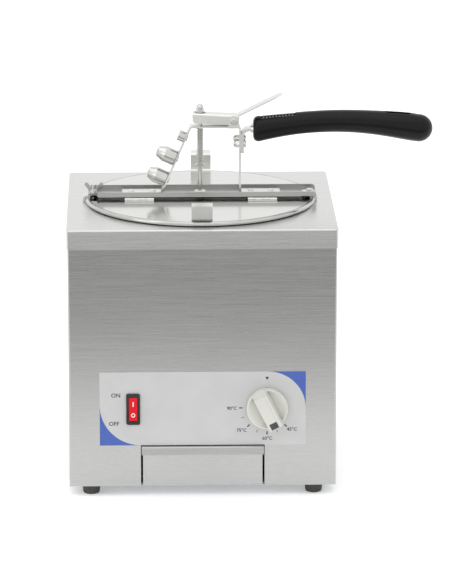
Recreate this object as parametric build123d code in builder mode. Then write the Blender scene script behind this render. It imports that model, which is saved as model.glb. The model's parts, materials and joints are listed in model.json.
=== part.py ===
from build123d import *
import os
from math import atan, cos, hypot, radians, sin, sqrt, tan

os.makedirs("parts", exist_ok=True)

# Heated sauce dispenser, in millimetres, +Z up, standing on z = 0.
# Everything is placed from the funnel's upright axis, and the front faces -Y.

# Clearances shared by every fit
SEAT = 0.02
RUN_FIT = 0.05
FACE_GAP = 0.1
GAP = 0.3

# Cabinet
FOOT_H = 10.5
FOOT_D = 18.8
FOOT_TAPER = 6.0
FOOT_EDGE_R = 2.0
FOOT_INSET_X = 22.0
FOOT_INSET_Y = 14.0
FOOT_RECESS_R = 4.8
FOOT_RECESS_H = 4.0
BODY_W = 270.0
BODY_D = 257.0
CASE_H = 267.2
SHEET = 1.0
BEND_R = 2.5
REAR_FLANGE = 14.0
BASE_FLANGE_H = 6.0
COVER_GAP = 0.3
SKIRT_H = 20.0
COVER_EDGE_R = 1.6
BODY_BOTTOM = FOOT_H
DECK_Z = BODY_BOTTOM + CASE_H
CASE_TOP = DECK_Z - SHEET
FRONT_Y = -BODY_D / 2
REAR_Y = BODY_D / 2

# Screws: shank radius, head radius, head height
SMALL_SCREW_R = 2.0
SMALL_HEAD_R = 3.6
SMALL_HEAD_H = 2.2
SMALL_NUT_FLAT = 7.0
SMALL_NUT_H = 3.2

# Control panel
OVERLAY_W = 208.0
OVERLAY_H = 76.8
OVERLAY_T = 0.5
TRAY_MOUTH_H = 43.1
OVERLAY_BOTTOM = BODY_BOTTOM + TRAY_MOUTH_H
OVERLAY_FACE = FRONT_Y - OVERLAY_T
SWITCH_X = -70.2
SWITCH_Z = 91.8
BEZEL_W = 13.9
BEZEL_H = 32.5
BEZEL_PROUD = 2.0
BEZEL_R = 2.0
SWITCH_W = 12.2
SWITCH_H = 29.0
SWITCH_DEPTH = 20.0
ROCKER_W = 8.4
ROCKER_H = 23.6
ROCKER_TILT = 9.0
ROCKER_PIVOT_Y = OVERLAY_FACE + 0.4
ROCKER_CREST = 2.6
ROCKER_BELLY = 5.0
ROCKER_PIN_R = 1.1
ROCKER_PIN_L = 1.0
ROCKER_WELL_DEPTH = 8.0
DIAL_X = 65.0
DIAL_Z = 92.3
KNOB_D = 42.0
KNOB_SKIRT_H = 6.5
KNOB_PROUD = 18.0
KNOB_BAR_W = 17.0
KNOB_BAR_TOP_W = 13.7
KNOB_BAR_L = 40.0
KNOB_BAR_TOP_L = 33.6
KNOB_SCOOP_DEPTH = 4.0
KNOB_SCOOP_R = 19.4
KNOB_EDGE_R = 1.5
KNOB_BORE_DEPTH = 12.0
KNOB_ANGLE = 153.4
SPINDLE_R = 3.0
SPINDLE_TAIL = 12.0
BUSHING_R = 5.0
THERMOSTAT_W = 34.0
THERMOSTAT_DEPTH = 20.0

# Drip tray and its bay
TRAY_MOUTH_W = 125.2
TRAY_SIDE_GAP = 0.8
TRAY_W = 118.0
TRAY_DEPTH = 196.0
TRAY_WALL_H = 37.0
TRAY_TOP_GAP = 0.9
TRAY_FACE_TOP = OVERLAY_BOTTOM - TRAY_TOP_GAP
TRAY_LIP_DROP = 8.3
TRAY_LIP_OUT = 4.6
TRAY_LIP_SLOPE = 0.6
TRAY_FOLD_R = 1.8
TRAY_SKIRT_INSET = 1.3
TRAY_CORNER_R = 6.0
GUIDE_H = 16.0
GUIDE_FOOT = 9.0
TRAY_Z = BODY_BOTTOM + SHEET + GAP

# Funnel
BEAD_R = 2.2
BEAD_CENTRE_R = 116.1
BEAD_Z = DECK_Z + GAP + BEAD_R
BEAD_TOP = BEAD_Z + BEAD_R
FUNNEL_SHEET = 1.0
FUNNEL_DEPTH = 180.0
MOUTH_INSET = 2.7
MOUTH_R = BEAD_CENTRE_R - MOUTH_INSET
OUTLET_R = 5.0
SPOUT_BORE_R = 3.6
SPOUT_COLLAR_R = 7.4
SPOUT_COLLAR_H = 3.0
THREAD_R = 5.5
THREAD_L = 7.0
CONE_Z = BEAD_Z - FUNNEL_DEPTH
CONE_SLOPE = (MOUTH_R - OUTLET_R) / FUNNEL_DEPTH
CONE_LEAN = atan(CONE_SLOPE)
COVER_HOLE_INSET = 1.5
COVER_HOLE_R = BEAD_CENTRE_R - COVER_HOLE_INSET

# Nozzles: one on the spout, two in store
NOZZLE_R = 8.1
NOZZLE_CYL = 12.5
NOZZLE_CONE = 7.2
NOZZLE_TIP_R = 4.9
NOZZLE_BORE_R = 3.0
NOZZLE_FIT = 0.1
SPARE_COUNT = 2

# Heated well round the funnel
WELL_GAP = 9.0
WELL_NECK_R = 24.0
WELL_NECK_END = 54.0
WELL_FLANGE = 8.0
HEATER_T = 3.0
HEATER_LOW = 128.0
HEATER_HIGH = 196.0
JACKET_T = 12.0
JACKET_LOW = 120.0
JACKET_HIGH = 236.0
BULB_R = 3.0
BULB_LOW = 62.0
BULB_DROP = 12.4
BULB_ANGLE = -60.0
CLIP_T = 0.8
CLIP_H = 10.0
CAPILLARY_R = 1.0
CAPILLARY_BEND_R = 7.0
TERMINAL_X = -96.0
TERMINAL_Y = 66.0
TERMINAL_L = 44.0
TERMINAL_W = 20.0
TERMINAL_H = 18.0

# Bridge bar
BAR_LEFT = 115.0
BAR_RIGHT = 119.0
BAR_W = 36.0
BAR_SHEET = 1.5
BAR_FLANGE_H = 5.5
BAR_CORNER_R = 3.7
BAR_TONGUE_W = 13.0
BAR_NOTCH_X = -105.4
JAW_T = 2.0
BAR_Z = BEAD_TOP + FACE_GAP + JAW_T
BAR_FLOOR = BAR_Z + BAR_SHEET

# Clamp and hook at the bar's ends
CLAMP_X = -109.0
CLAMP_BOLT_R = 2.5
CLAMP_HEAD_R = 3.6
CLAMP_HEAD_H = 2.4
CLAMP_BOLT_RISE = 9.0
JAW_W = 12.0
JAW_REACH = 13.0
JAW_GRIP_DROP = 1.3
HOOK_X = 112.6
HOOK_PLATE_T = 1.0
HOOK_PLATE_L = 12.0
HOOK_PLATE_BEVEL = 4.0
WING_HUB_R = 4.6
WING_HUB_TOP_R = 3.8
WING_HUB_H = 4.4
WING_T = 2.4
WING_SPAN = 9.6
WING_RISE = 9.8
WING_W = 3.9

# Half lids and their hinges
LID_R = 113.8
LID_T = 1.0
LID_Z = BEAD_Z + 1.0
LID_TOP = LID_Z + LID_T
HINGE_OFFSET = 20.3
HINGE_XS = (-62.5, 63.5)
HINGE_L = 30.0
KNUCKLES = 4
BARREL_R = 1.5
HINGE_PIN_R = 0.7
LEAF_T = 0.8
LEAF_REACH = 12.0
HINGE_RISE = 1.1
HINGE_Z = LID_TOP + HINGE_RISE
LID_BACK = 10.0
LID_BACK_HALF_W = 104.0
TAB_W = 21.0
TAB_RISE = 19.4
TAB_LIP = 16.5
TAB_FOOT = 9.0
TAB_T = 1.2
TAB_BEND_R = 2.0
TAB_CORNER_R = 4.0
REAR_TAB_X = 2.8

# Lever bracket, one bent strip
STRIP_W = 15.0
STRIP_T = 1.8
STRIP_BEND_R = 2.4
BRACKET_LEFT = -80.0
LEG_L_FOOT = -39.6
LEG_L_HEAD = -9.6
BRACKET_H = 68.6
LEG_R_X = 41.0
BRACKET_RIGHT = 82.0
EAR_LEFT = 28.8
EAR_TOP_R = 5.0
EAR_ABOVE_PIVOT = 5.5
EAR_T = 1.5
RIVET_R = 2.0
RIVET_HEAD_R = 3.2
RIVET_HEAD_H = 1.2
RIVET_INSET = 9.0
TOP_PLATE_Z = BAR_FLOOR + BRACKET_H

# Thumb lever
LEVER_W = 15.8
LEVER_T = 1.4
LEVER_LEFT = -7.6
LEVER_RIGHT = 40.2
LEVER_H = 10.3
LEVER_RAISE = 1.0
LEVER_TILT = 3.3
LEVER_BOTTOM = TOP_PLATE_Z + STRIP_T + LEVER_RAISE
LEVER_TOP = LEVER_BOTTOM + LEVER_H
LEVER_EDGE_R = 1.6
PIVOT_X = 34.7
PIVOT_RISE = 4.6
PIVOT_Z = LEVER_BOTTOM + PIVOT_RISE
PIVOT_R = 2.0
PIVOT_HEAD_R = 3.6
PIVOT_HEAD_H = 2.3
PADDLE_L = 50.6
PADDLE_W = 15.0
PADDLE_ANGLE = 29.6
PADDLE_T = 1.5
ROD_SLOT_L = 12.4

# Valve rod and spring
ROD_R = 2.4
NUT_FLAT = 8.0
NUT_HEX_H = 3.4
NUT_DOME_R = 3.8
NUT_DEPTH = 5.6
NUT_H = 8.4
NUT_LIFT_GAP = 0.2
CROSS_PIN_DROP = 41.4
CROSS_PIN_L = 11.0
CROSS_PIN_R = 0.9
WASHER_R = 4.4
WASHER_T = 0.8
SPRING_R = 3.3
SPRING_WIRE_R = 0.45
SPRING_PITCH = 2.4
BUSH_R = 6.0
BUSH_NECK_R = 4.0
BUSH_H = 2.0
PLUG_RISE = 0.6
PLUG_H = 9.0
PLUG_CONE_H = 7.2
PLUG_SOCKET = 6.0

# Nozzle pegs on the slanted leg
PEG_FIRST = 14.0
PEG_PITCH = 23.8
PEG_COUNT = 3
PEG_SHANK_R = 2.5
PEG_TAIL_R = 3.2
PEG_TAIL_H = 1.4

# Handle
STRAP_W = 16.0
STRAP_T = 3.0
STRAP_DROP = 25.6
STRAP_RISE = 2.3
STRAP_BEND_R = 6.4
STRAP_SCREW_DROP = 16.0
STRAP_SCREW_Y = 4.1
STRAP_SCREW_STEP = 2.0
STRAP_DOME_H = 2.8
TANG_L = 34.0
TANG_RISE = 5.6
GRIP_START = 54.4
GRIP_EDGE_R = 5.5
GRIP_END_R = 14.1
GRIP_STATIONS = [
    (0.0, 351.2, 26.8, 26.0),
    (18.6, 354.5, 25.2, 24.6),
    (43.4, 357.7, 23.0, 23.0),
    (73.6, 359.8, 22.6, 22.8),
    (110.6, 359.2, 23.8, 24.0),
    (147.6, 355.5, 27.6, 27.0),
    (170.1, 352.3, 2 * GRIP_END_R, 2 * GRIP_END_R),
]
FERRULE_T = 2.6
FERRULE_H = 9.0
FERRULE_W = 19.0
RIB_FIRST = 65.0
RIB_PITCH = 3.3
RIB_COUNT = 10
RIB_T = 1.1
RIB_L = 13.0
RIB_POCKET_DEPTH = 2.2
RIB_TOP_GAP = 0.5
RIB_LEAN = 5.0
RIB_TOP_Z = 365.2
HANG_SLOT_X = 203.0
HANG_SLOT_L = 27.0
HANG_SLOT_W = 8.5
GRIP_END = GRIP_START + GRIP_STATIONS[-1][0] + GRIP_END_R

# Rear panel and gland
PANEL_MARGIN = 4.0
VENT_COUNT = 13
VENT_PITCH = 14.0
VENT_W = 4.0
VENT_L = 32.0
VENT_Z = 222.0
GLAND_X = 86.0
GLAND_Z = 36.0
GLAND_R = 8.0
GLAND_BORE_R = 3.6
GLAND_FLANGE_R = 11.0
GLAND_FLANGE_T = 3.0
GLAND_CAP_R = 9.0
GLAND_PROUD = 15.0
GLAND_TAIL = 9.0
GLAND_NUT_FLAT = 22.0
GLAND_NUT_H = 5.0
PANEL_FACE = REAR_Y + SHEET

# The origin lies under the middle of the machine's box, and the funnel's axis stands off it.
COVER_HALF_W = BODY_W / 2 + COVER_GAP + SHEET
COVER_HALF_D = BODY_D / 2 + COVER_GAP + SHEET
KNOB_FACE = OVERLAY_FACE - KNOB_PROUD
GLAND_FACE = PANEL_FACE + GLAND_PROUD
AXIS_X = (COVER_HALF_W - GRIP_END) / 2
AXIS_Y = -(KNOB_FACE + GLAND_FACE) / 2
UPRIGHT = Axis((AXIS_X, AXIS_Y, 0), (0, 0, 1))


def level(height, x=0.0, y=0.0):
    """Horizontal sketch plane at a height, centred on the funnel's axis or x, y from it."""
    return Plane(origin=(AXIS_X + x, AXIS_Y + y, height), x_dir=(1, 0, 0), z_dir=(0, 0, 1))


def facing(depth, x=0.0, height=0.0):
    """Upright sketch plane that faces the user: sketch x runs right and sketch y runs up."""
    return Plane(origin=(AXIS_X + x, AXIS_Y + depth, height), x_dir=(1, 0, 0), z_dir=(0, -1, 0))


def sideways(x, y=0.0, height=0.0):
    """Upright sketch plane that faces right: sketch x runs to the rear and sketch y runs up."""
    return Plane(origin=(AXIS_X + x, AXIS_Y + y, height), x_dir=(0, 1, 0), z_dir=(1, 0, 0))


def slab(u0, u1, v0, v1, mode=Mode.ADD):
    """A rectangle from corner to corner in the sketch that is open."""
    with Locations(((u0 + u1) / 2, (v0 + v1) / 2)):
        Rectangle(u1 - u0, v1 - v0, mode=mode)


def hexagon(across_flats):
    """A nut's outline in the sketch that is open."""
    RegularPolygon(across_flats / 2, 6, major_radius=False)


def finish(piece, name):
    """Label a finished piece and write its STEP file."""
    piece.part.label = name
    export_step(piece.part, f"parts/{name}.step")


# Places that several pieces share
FEET = [(sx * (BODY_W / 2 - FOOT_INSET_X), sy * (BODY_D / 2 - FOOT_INSET_Y))
        for sx in (-1, 1) for sy in (-1, 1)]
PANEL_TOP = DECK_Z - SKIRT_H - PANEL_MARGIN
PANEL_BOTTOM = BODY_BOTTOM + PANEL_MARGIN
PANEL_HALF_W = BODY_W / 2 - PANEL_MARGIN
SCREW_INSET = (REAR_FLANGE - PANEL_MARGIN) / 2
PANEL_SCREWS = [(sx * (PANEL_HALF_W - SCREW_INSET), z)
                for sx in (-1, 1)
                for z in (PANEL_BOTTOM + SCREW_INSET, (PANEL_BOTTOM + PANEL_TOP) / 2,
                          PANEL_TOP - SCREW_INSET)]

# Folded casing: front and two sides in one sheet, with flanges turned in at the back
with BuildPart() as outer_casing:
    with BuildSketch(level(BODY_BOTTOM)):
        RectangleRounded(BODY_W, BODY_D, BEND_R)
        RectangleRounded(BODY_W - 2 * SHEET, BODY_D - 2 * SHEET, BEND_R - SHEET, mode=Mode.SUBTRACT)
    extrude(amount=CASE_TOP - BODY_BOTTOM)
    with BuildSketch(facing(REAR_Y)):
        slab(-BODY_W / 2 + REAR_FLANGE, BODY_W / 2 - REAR_FLANGE,
             BODY_BOTTOM + REAR_FLANGE, PANEL_TOP - REAR_FLANGE)
        with Locations(*PANEL_SCREWS):
            Circle(SMALL_SCREW_R + SEAT)
    extrude(amount=2 * SHEET, mode=Mode.SUBTRACT)
    with BuildSketch(facing(FRONT_Y)):
        slab(-TRAY_MOUTH_W / 2, TRAY_MOUTH_W / 2, BODY_BOTTOM - SHEET, OVERLAY_BOTTOM)
        with Locations((SWITCH_X, SWITCH_Z)):
            Rectangle(SWITCH_W + 2 * FACE_GAP, SWITCH_H + 2 * FACE_GAP)
        with Locations((DIAL_X, DIAL_Z)):
            Circle(BUSHING_R + FACE_GAP)
    extrude(amount=-2 * SHEET, mode=Mode.SUBTRACT)
finish(outer_casing, "outer_casing")

# Top cover: pressed lid with a turned-down skirt and the opening that the funnel hangs in
with BuildPart() as top_cover:
    with BuildSketch(level(DECK_Z - SKIRT_H)):
        RectangleRounded(2 * COVER_HALF_W, 2 * COVER_HALF_D, BEND_R + SHEET)
    extrude(amount=SKIRT_H)
    fillet(top_cover.faces().sort_by(Axis.Z)[-1].edges(), radius=COVER_EDGE_R)
    with BuildSketch(level(DECK_Z - SKIRT_H)):
        RectangleRounded(2 * (COVER_HALF_W - SHEET), 2 * (COVER_HALF_D - SHEET), BEND_R)
    extrude(amount=SKIRT_H - SHEET, mode=Mode.SUBTRACT)
    with BuildSketch(level(DECK_Z)):
        Circle(COVER_HOLE_R)
    extrude(amount=-2 * SHEET, mode=Mode.SUBTRACT)
finish(top_cover, "top_cover")

# Rear panel, screwed on the casing's flanges, with a row of vent slots
with BuildPart() as rear_panel:
    with BuildSketch(facing(PANEL_FACE)):
        slab(-PANEL_HALF_W, PANEL_HALF_W, PANEL_BOTTOM, PANEL_TOP)
        with Locations((GLAND_X, GLAND_Z)):
            Circle(GLAND_R + FACE_GAP, mode=Mode.SUBTRACT)
        with Locations(*PANEL_SCREWS):
            Circle(SMALL_SCREW_R + SEAT, mode=Mode.SUBTRACT)
        with Locations((0, VENT_Z)):
            with GridLocations(VENT_PITCH, 1, VENT_COUNT, 1):
                SlotOverall(VENT_L, VENT_W, rotation=90, mode=Mode.SUBTRACT)
    extrude(amount=SHEET)
finish(rear_panel, "rear_panel")

with BuildPart() as panel_screws:
    with BuildSketch(facing(PANEL_FACE)):
        with Locations(*PANEL_SCREWS):
            Circle(SMALL_HEAD_R)
    extrude(amount=-SMALL_HEAD_H)
    fillet(panel_screws.faces().group_by(Axis.Y)[-1].edges(), radius=SMALL_HEAD_H / 2)
    with BuildSketch(facing(PANEL_FACE)):
        with Locations(*PANEL_SCREWS):
            Circle(SMALL_SCREW_R)
    extrude(amount=3 * SMALL_HEAD_H)
finish(panel_screws, "panel_screws")

# Base plate with flanges turned up inside the casing
with BuildPart() as base_plate:
    with BuildSketch(level(BODY_BOTTOM)):
        RectangleRounded(BODY_W - 2 * SHEET - 2 * SEAT, BODY_D - 2 * SHEET - 2 * SEAT, BEND_R - SHEET)
    extrude(amount=BASE_FLANGE_H)
    with BuildSketch(level(BODY_BOTTOM + SHEET)):
        RectangleRounded(BODY_W - 4 * SHEET, BODY_D - 4 * SHEET, BEND_R - SHEET)
    extrude(amount=BASE_FLANGE_H, mode=Mode.SUBTRACT)
    with BuildSketch(facing(FRONT_Y)):
        slab(-TRAY_MOUTH_W / 2, TRAY_MOUTH_W / 2, BODY_BOTTOM + SHEET, BODY_BOTTOM + 2 * BASE_FLANGE_H)
    extrude(amount=-3 * SHEET, mode=Mode.SUBTRACT)
    with BuildSketch(level(BODY_BOTTOM)):
        with Locations(*FEET):
            Circle(SMALL_SCREW_R + SEAT)
    extrude(amount=SHEET, mode=Mode.SUBTRACT)
finish(base_plate, "base_plate")

with BuildPart() as feet:
    with BuildSketch(level(FOOT_H)):
        with Locations(*FEET):
            Circle(FOOT_D / 2)
    extrude(amount=-FOOT_H, taper=FOOT_TAPER)
    fillet(feet.edges().group_by(Axis.Z)[0], radius=FOOT_EDGE_R)
    with BuildSketch(level(0)):
        with Locations(*FEET):
            Circle(FOOT_RECESS_R)
    extrude(amount=FOOT_RECESS_H, mode=Mode.SUBTRACT)
    with BuildSketch(level(0)):
        with Locations(*FEET):
            Circle(SMALL_SCREW_R + SEAT)
    extrude(amount=FOOT_H, mode=Mode.SUBTRACT)
finish(feet, "feet")

with BuildPart() as foot_screws:
    with BuildSketch(level(FOOT_RECESS_H)):
        with Locations(*FEET):
            Circle(SMALL_HEAD_R)
    extrude(amount=-SMALL_HEAD_H)
    with BuildSketch(level(FOOT_RECESS_H)):
        with Locations(*FEET):
            Circle(SMALL_SCREW_R)
    extrude(amount=BODY_BOTTOM + SHEET + SMALL_NUT_H + SHEET - FOOT_RECESS_H)
finish(foot_screws, "foot_screws")

with BuildPart() as foot_nuts:
    with BuildSketch(level(BODY_BOTTOM + SHEET)):
        with Locations(*FEET):
            hexagon(SMALL_NUT_FLAT)
            Circle(SMALL_SCREW_R + SEAT, mode=Mode.SUBTRACT)
    extrude(amount=SMALL_NUT_H)
finish(foot_nuts, "foot_nuts")

# Cable gland in the rear panel: flanged body with a domed cap, and its lock nut inside
with BuildPart() as cable_gland:
    with BuildSketch(facing(PANEL_FACE, GLAND_X, GLAND_Z)):
        Circle(GLAND_FLANGE_R)
    extrude(amount=-GLAND_FLANGE_T)
    with BuildSketch(facing(PANEL_FACE + GLAND_FLANGE_T, GLAND_X, GLAND_Z)):
        Circle(GLAND_CAP_R)
    extrude(amount=-(GLAND_PROUD - GLAND_FLANGE_T))
    fillet(cable_gland.faces().sort_by(Axis.Y)[-1].edges(), radius=GLAND_FLANGE_T)
    with BuildSketch(facing(PANEL_FACE, GLAND_X, GLAND_Z)):
        Circle(GLAND_R)
    extrude(amount=SHEET + GLAND_TAIL)
    with BuildSketch(facing(GLAND_FACE, GLAND_X, GLAND_Z)):
        Circle(GLAND_BORE_R)
    extrude(amount=GLAND_PROUD + SHEET + GLAND_TAIL, mode=Mode.SUBTRACT)
finish(cable_gland, "cable_gland")

with BuildPart() as gland_nut:
    with BuildSketch(facing(REAR_Y, GLAND_X, GLAND_Z)):
        hexagon(GLAND_NUT_FLAT)
        Circle(GLAND_R + SEAT, mode=Mode.SUBTRACT)
    extrude(amount=GLAND_NUT_H)
finish(gland_nut, "gland_nut")

with BuildPart() as terminal_block:
    with BuildSketch(level(BODY_BOTTOM + SHEET, TERMINAL_X, TERMINAL_Y)):
        RectangleRounded(TERMINAL_W, TERMINAL_L, 2 * SHEET)
    extrude(amount=TERMINAL_H)
    with BuildSketch(level(BODY_BOTTOM + SHEET + TERMINAL_H, TERMINAL_X, TERMINAL_Y)):
        with GridLocations(TERMINAL_W / 2, TERMINAL_L / 4, 2, 3):
            Circle(SMALL_SCREW_R)
    extrude(amount=-TERMINAL_H / 2, mode=Mode.SUBTRACT)
finish(terminal_block, "terminal_block")

# Tray guides: an angle on each side of the tray, standing on the base plate
GUIDE_FACE = TRAY_W / 2 + GAP
with BuildPart() as tray_guides:
    with BuildSketch(facing(FRONT_Y + TRAY_DEPTH)):
        for side in (-1, 1):
            slab(*sorted((side * GUIDE_FACE, side * (GUIDE_FACE + SHEET))),
                 BODY_BOTTOM + SHEET, BODY_BOTTOM + SHEET + GUIDE_H)
            slab(*sorted((side * GUIDE_FACE, side * (GUIDE_FACE + GUIDE_FOOT))),
                 BODY_BOTTOM + SHEET, BODY_BOTTOM + 2 * SHEET)
    extrude(amount=TRAY_DEPTH - 4 * SHEET)
finish(tray_guides, "tray_guides")

# Heated well: the funnel hangs in it, and its neck opens over the drip tray
WALL_ACROSS = 1 / cos(CONE_LEAN)


def cone_radius(height, offset=0.0):
    """Radius of the funnel's inner face at a height, plus an offset square to the wall."""
    return OUTLET_R + CONE_SLOPE * (height - CONE_Z) + offset * WALL_ACROSS


def cone_height(radius, offset=0.0):
    """Height at which the same offset cone has a radius."""
    return CONE_Z + (radius - offset * WALL_ACROSS - OUTLET_R) / CONE_SLOPE


WELL_IN = FUNNEL_SHEET + WELL_GAP
WELL_OUT = WELL_IN + SHEET
WELL_TOP_R = COVER_HOLE_R + GAP

with BuildPart() as heating_well:
    with BuildSketch(facing(0)):
        with BuildLine():
            Polyline(
                (WELL_NECK_R, WELL_NECK_END),
                (WELL_NECK_R, cone_height(WELL_NECK_R, WELL_IN)),
                (WELL_TOP_R, cone_height(WELL_TOP_R, WELL_IN)),
                (WELL_TOP_R, CASE_TOP),
                (WELL_TOP_R + WELL_FLANGE, CASE_TOP),
                (WELL_TOP_R + WELL_FLANGE, CASE_TOP - SHEET),
                (WELL_TOP_R + SHEET, CASE_TOP - SHEET),
                (WELL_TOP_R + SHEET, cone_height(WELL_TOP_R + SHEET, WELL_OUT)),
                (WELL_NECK_R + SHEET, cone_height(WELL_NECK_R + SHEET, WELL_OUT)),
                (WELL_NECK_R + SHEET, WELL_NECK_END),
                close=True)
        make_face()
    revolve(axis=UPRIGHT)
finish(heating_well, "heating_well")

with BuildPart() as heater_band:
    with BuildSketch(facing(0)):
        with BuildLine():
            Polyline(
                (cone_radius(HEATER_LOW, WELL_OUT), HEATER_LOW),
                (cone_radius(HEATER_HIGH, WELL_OUT), HEATER_HIGH),
                (cone_radius(HEATER_HIGH, WELL_OUT + HEATER_T), HEATER_HIGH),
                (cone_radius(HEATER_LOW, WELL_OUT + HEATER_T), HEATER_LOW),
                close=True)
        make_face()
    revolve(axis=UPRIGHT)
finish(heater_band, "heater_band")

with BuildPart() as insulation_jacket:
    with BuildSketch(facing(0)):
        with BuildLine():
            Polyline(
                (cone_radius(JACKET_LOW, WELL_OUT), JACKET_LOW),
                (cone_radius(HEATER_LOW, WELL_OUT), HEATER_LOW),
                (cone_radius(HEATER_LOW, WELL_OUT + HEATER_T), HEATER_LOW),
                (cone_radius(HEATER_HIGH, WELL_OUT + HEATER_T), HEATER_HIGH),
                (cone_radius(HEATER_HIGH, WELL_OUT), HEATER_HIGH),
                (cone_radius(JACKET_HIGH, WELL_OUT), JACKET_HIGH),
                (cone_radius(JACKET_HIGH, WELL_OUT + JACKET_T), JACKET_HIGH),
                (cone_radius(JACKET_LOW, WELL_OUT + JACKET_T), JACKET_LOW),
                close=True)
        make_face()
    revolve(axis=UPRIGHT)
finish(insulation_jacket, "insulation_jacket")

# Thermostat: body and bushing behind the panel, bulb against the well's neck
THERMOSTAT_FRONT = FRONT_Y + SHEET
THERMOSTAT_REAR = THERMOSTAT_FRONT + THERMOSTAT_DEPTH

with BuildPart() as thermostat:
    with BuildSketch(facing(THERMOSTAT_FRONT, DIAL_X, DIAL_Z)):
        RectangleRounded(THERMOSTAT_W, THERMOSTAT_W, 2 * SHEET)
    extrude(amount=-THERMOSTAT_DEPTH)
    with BuildSketch(facing(THERMOSTAT_FRONT, DIAL_X, DIAL_Z)):
        Circle(BUSHING_R)
    extrude(amount=SHEET + OVERLAY_T)
    with BuildSketch(facing(OVERLAY_FACE, DIAL_X, DIAL_Z)):
        Circle(SPINDLE_R + RUN_FIT)
    extrude(amount=-(SHEET + OVERLAY_T + SPINDLE_TAIL + GAP), mode=Mode.SUBTRACT)
finish(thermostat, "thermostat")

BULB_L = cone_height(WELL_NECK_R, WELL_IN) - BULB_DROP - BULB_LOW
BULB_CENTRE_R = WELL_NECK_R + SHEET + BULB_R + SEAT
BULB_X = BULB_CENTRE_R * cos(radians(BULB_ANGLE))
BULB_Y = BULB_CENTRE_R * sin(radians(BULB_ANGLE))

with BuildPart() as thermostat_bulb:
    with BuildSketch(level(BULB_LOW, BULB_X, BULB_Y)):
        Circle(BULB_R)
    extrude(amount=BULB_L)
    with BuildLine():
        capillary = FilletPolyline(
            (AXIS_X + BULB_X, AXIS_Y + BULB_Y, BULB_LOW),
            (AXIS_X + BULB_X, AXIS_Y + BULB_Y, BULB_LOW - CAPILLARY_BEND_R),
            (AXIS_X + DIAL_X, AXIS_Y + THERMOSTAT_REAR + 4 * CAPILLARY_BEND_R, BULB_LOW - CAPILLARY_BEND_R),
            (AXIS_X + DIAL_X, AXIS_Y + THERMOSTAT_REAR + 4 * CAPILLARY_BEND_R, DIAL_Z),
            (AXIS_X + DIAL_X, AXIS_Y + THERMOSTAT_REAR, DIAL_Z),
            radius=CAPILLARY_BEND_R - CAPILLARY_R)
    with BuildSketch(Plane(capillary @ 0, z_dir=capillary % 0)):
        Circle(CAPILLARY_R)
    sweep(path=capillary)
finish(thermostat_bulb, "thermostat_bulb")

with BuildPart() as bulb_clip:
    with BuildSketch(level(BULB_LOW + (BULB_L - CLIP_H) / 2)):
        Circle(WELL_NECK_R + SHEET + CLIP_T)
        with Locations((BULB_X, BULB_Y)):
            Circle(BULB_R + CLIP_T)
        Circle(WELL_NECK_R + SHEET + SEAT, mode=Mode.SUBTRACT)
        with Locations((BULB_X, BULB_Y)):
            Circle(BULB_R + SEAT, mode=Mode.SUBTRACT)
    extrude(amount=CLIP_H)
finish(bulb_clip, "bulb_clip")

# Control panel: overlay, rocker switch, knob
with BuildPart() as control_overlay:
    with BuildSketch(facing(FRONT_Y)):
        slab(-OVERLAY_W / 2, OVERLAY_W / 2, OVERLAY_BOTTOM, OVERLAY_BOTTOM + OVERLAY_H)
        with Locations((SWITCH_X, SWITCH_Z)):
            Rectangle(SWITCH_W + 2 * FACE_GAP, SWITCH_H + 2 * FACE_GAP, mode=Mode.SUBTRACT)
        with Locations((DIAL_X, DIAL_Z)):
            Circle(BUSHING_R + FACE_GAP, mode=Mode.SUBTRACT)
    extrude(amount=OVERLAY_T)
finish(control_overlay, "control_overlay")

ROCKER_OPEN_W = ROCKER_W + 2 * GAP
ROCKER_OPEN_H = ROCKER_H + 6 * GAP

with BuildPart() as switch_body:
    with BuildSketch(facing(OVERLAY_FACE, SWITCH_X, SWITCH_Z)):
        RectangleRounded(BEZEL_W, BEZEL_H, BEZEL_R)
    extrude(amount=BEZEL_PROUD)
    fillet(switch_body.faces().sort_by(Axis.Y)[0].edges(), radius=BEZEL_PROUD / 3)
    with BuildSketch(facing(OVERLAY_FACE, SWITCH_X, SWITCH_Z)):
        Rectangle(SWITCH_W, SWITCH_H)
    extrude(amount=-SWITCH_DEPTH)
    with BuildSketch(facing(OVERLAY_FACE - BEZEL_PROUD, SWITCH_X, SWITCH_Z)):
        Rectangle(ROCKER_OPEN_W, ROCKER_OPEN_H)
    extrude(amount=-(BEZEL_PROUD + ROCKER_WELL_DEPTH), mode=Mode.SUBTRACT)
    with BuildSketch(sideways(SWITCH_X, ROCKER_PIVOT_Y, SWITCH_Z)):
        Circle(ROCKER_PIN_R + RUN_FIT)
    extrude(amount=ROCKER_W / 2 + ROCKER_PIN_L + GAP, both=True, mode=Mode.SUBTRACT)
finish(switch_body, "switch_body")

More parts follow.
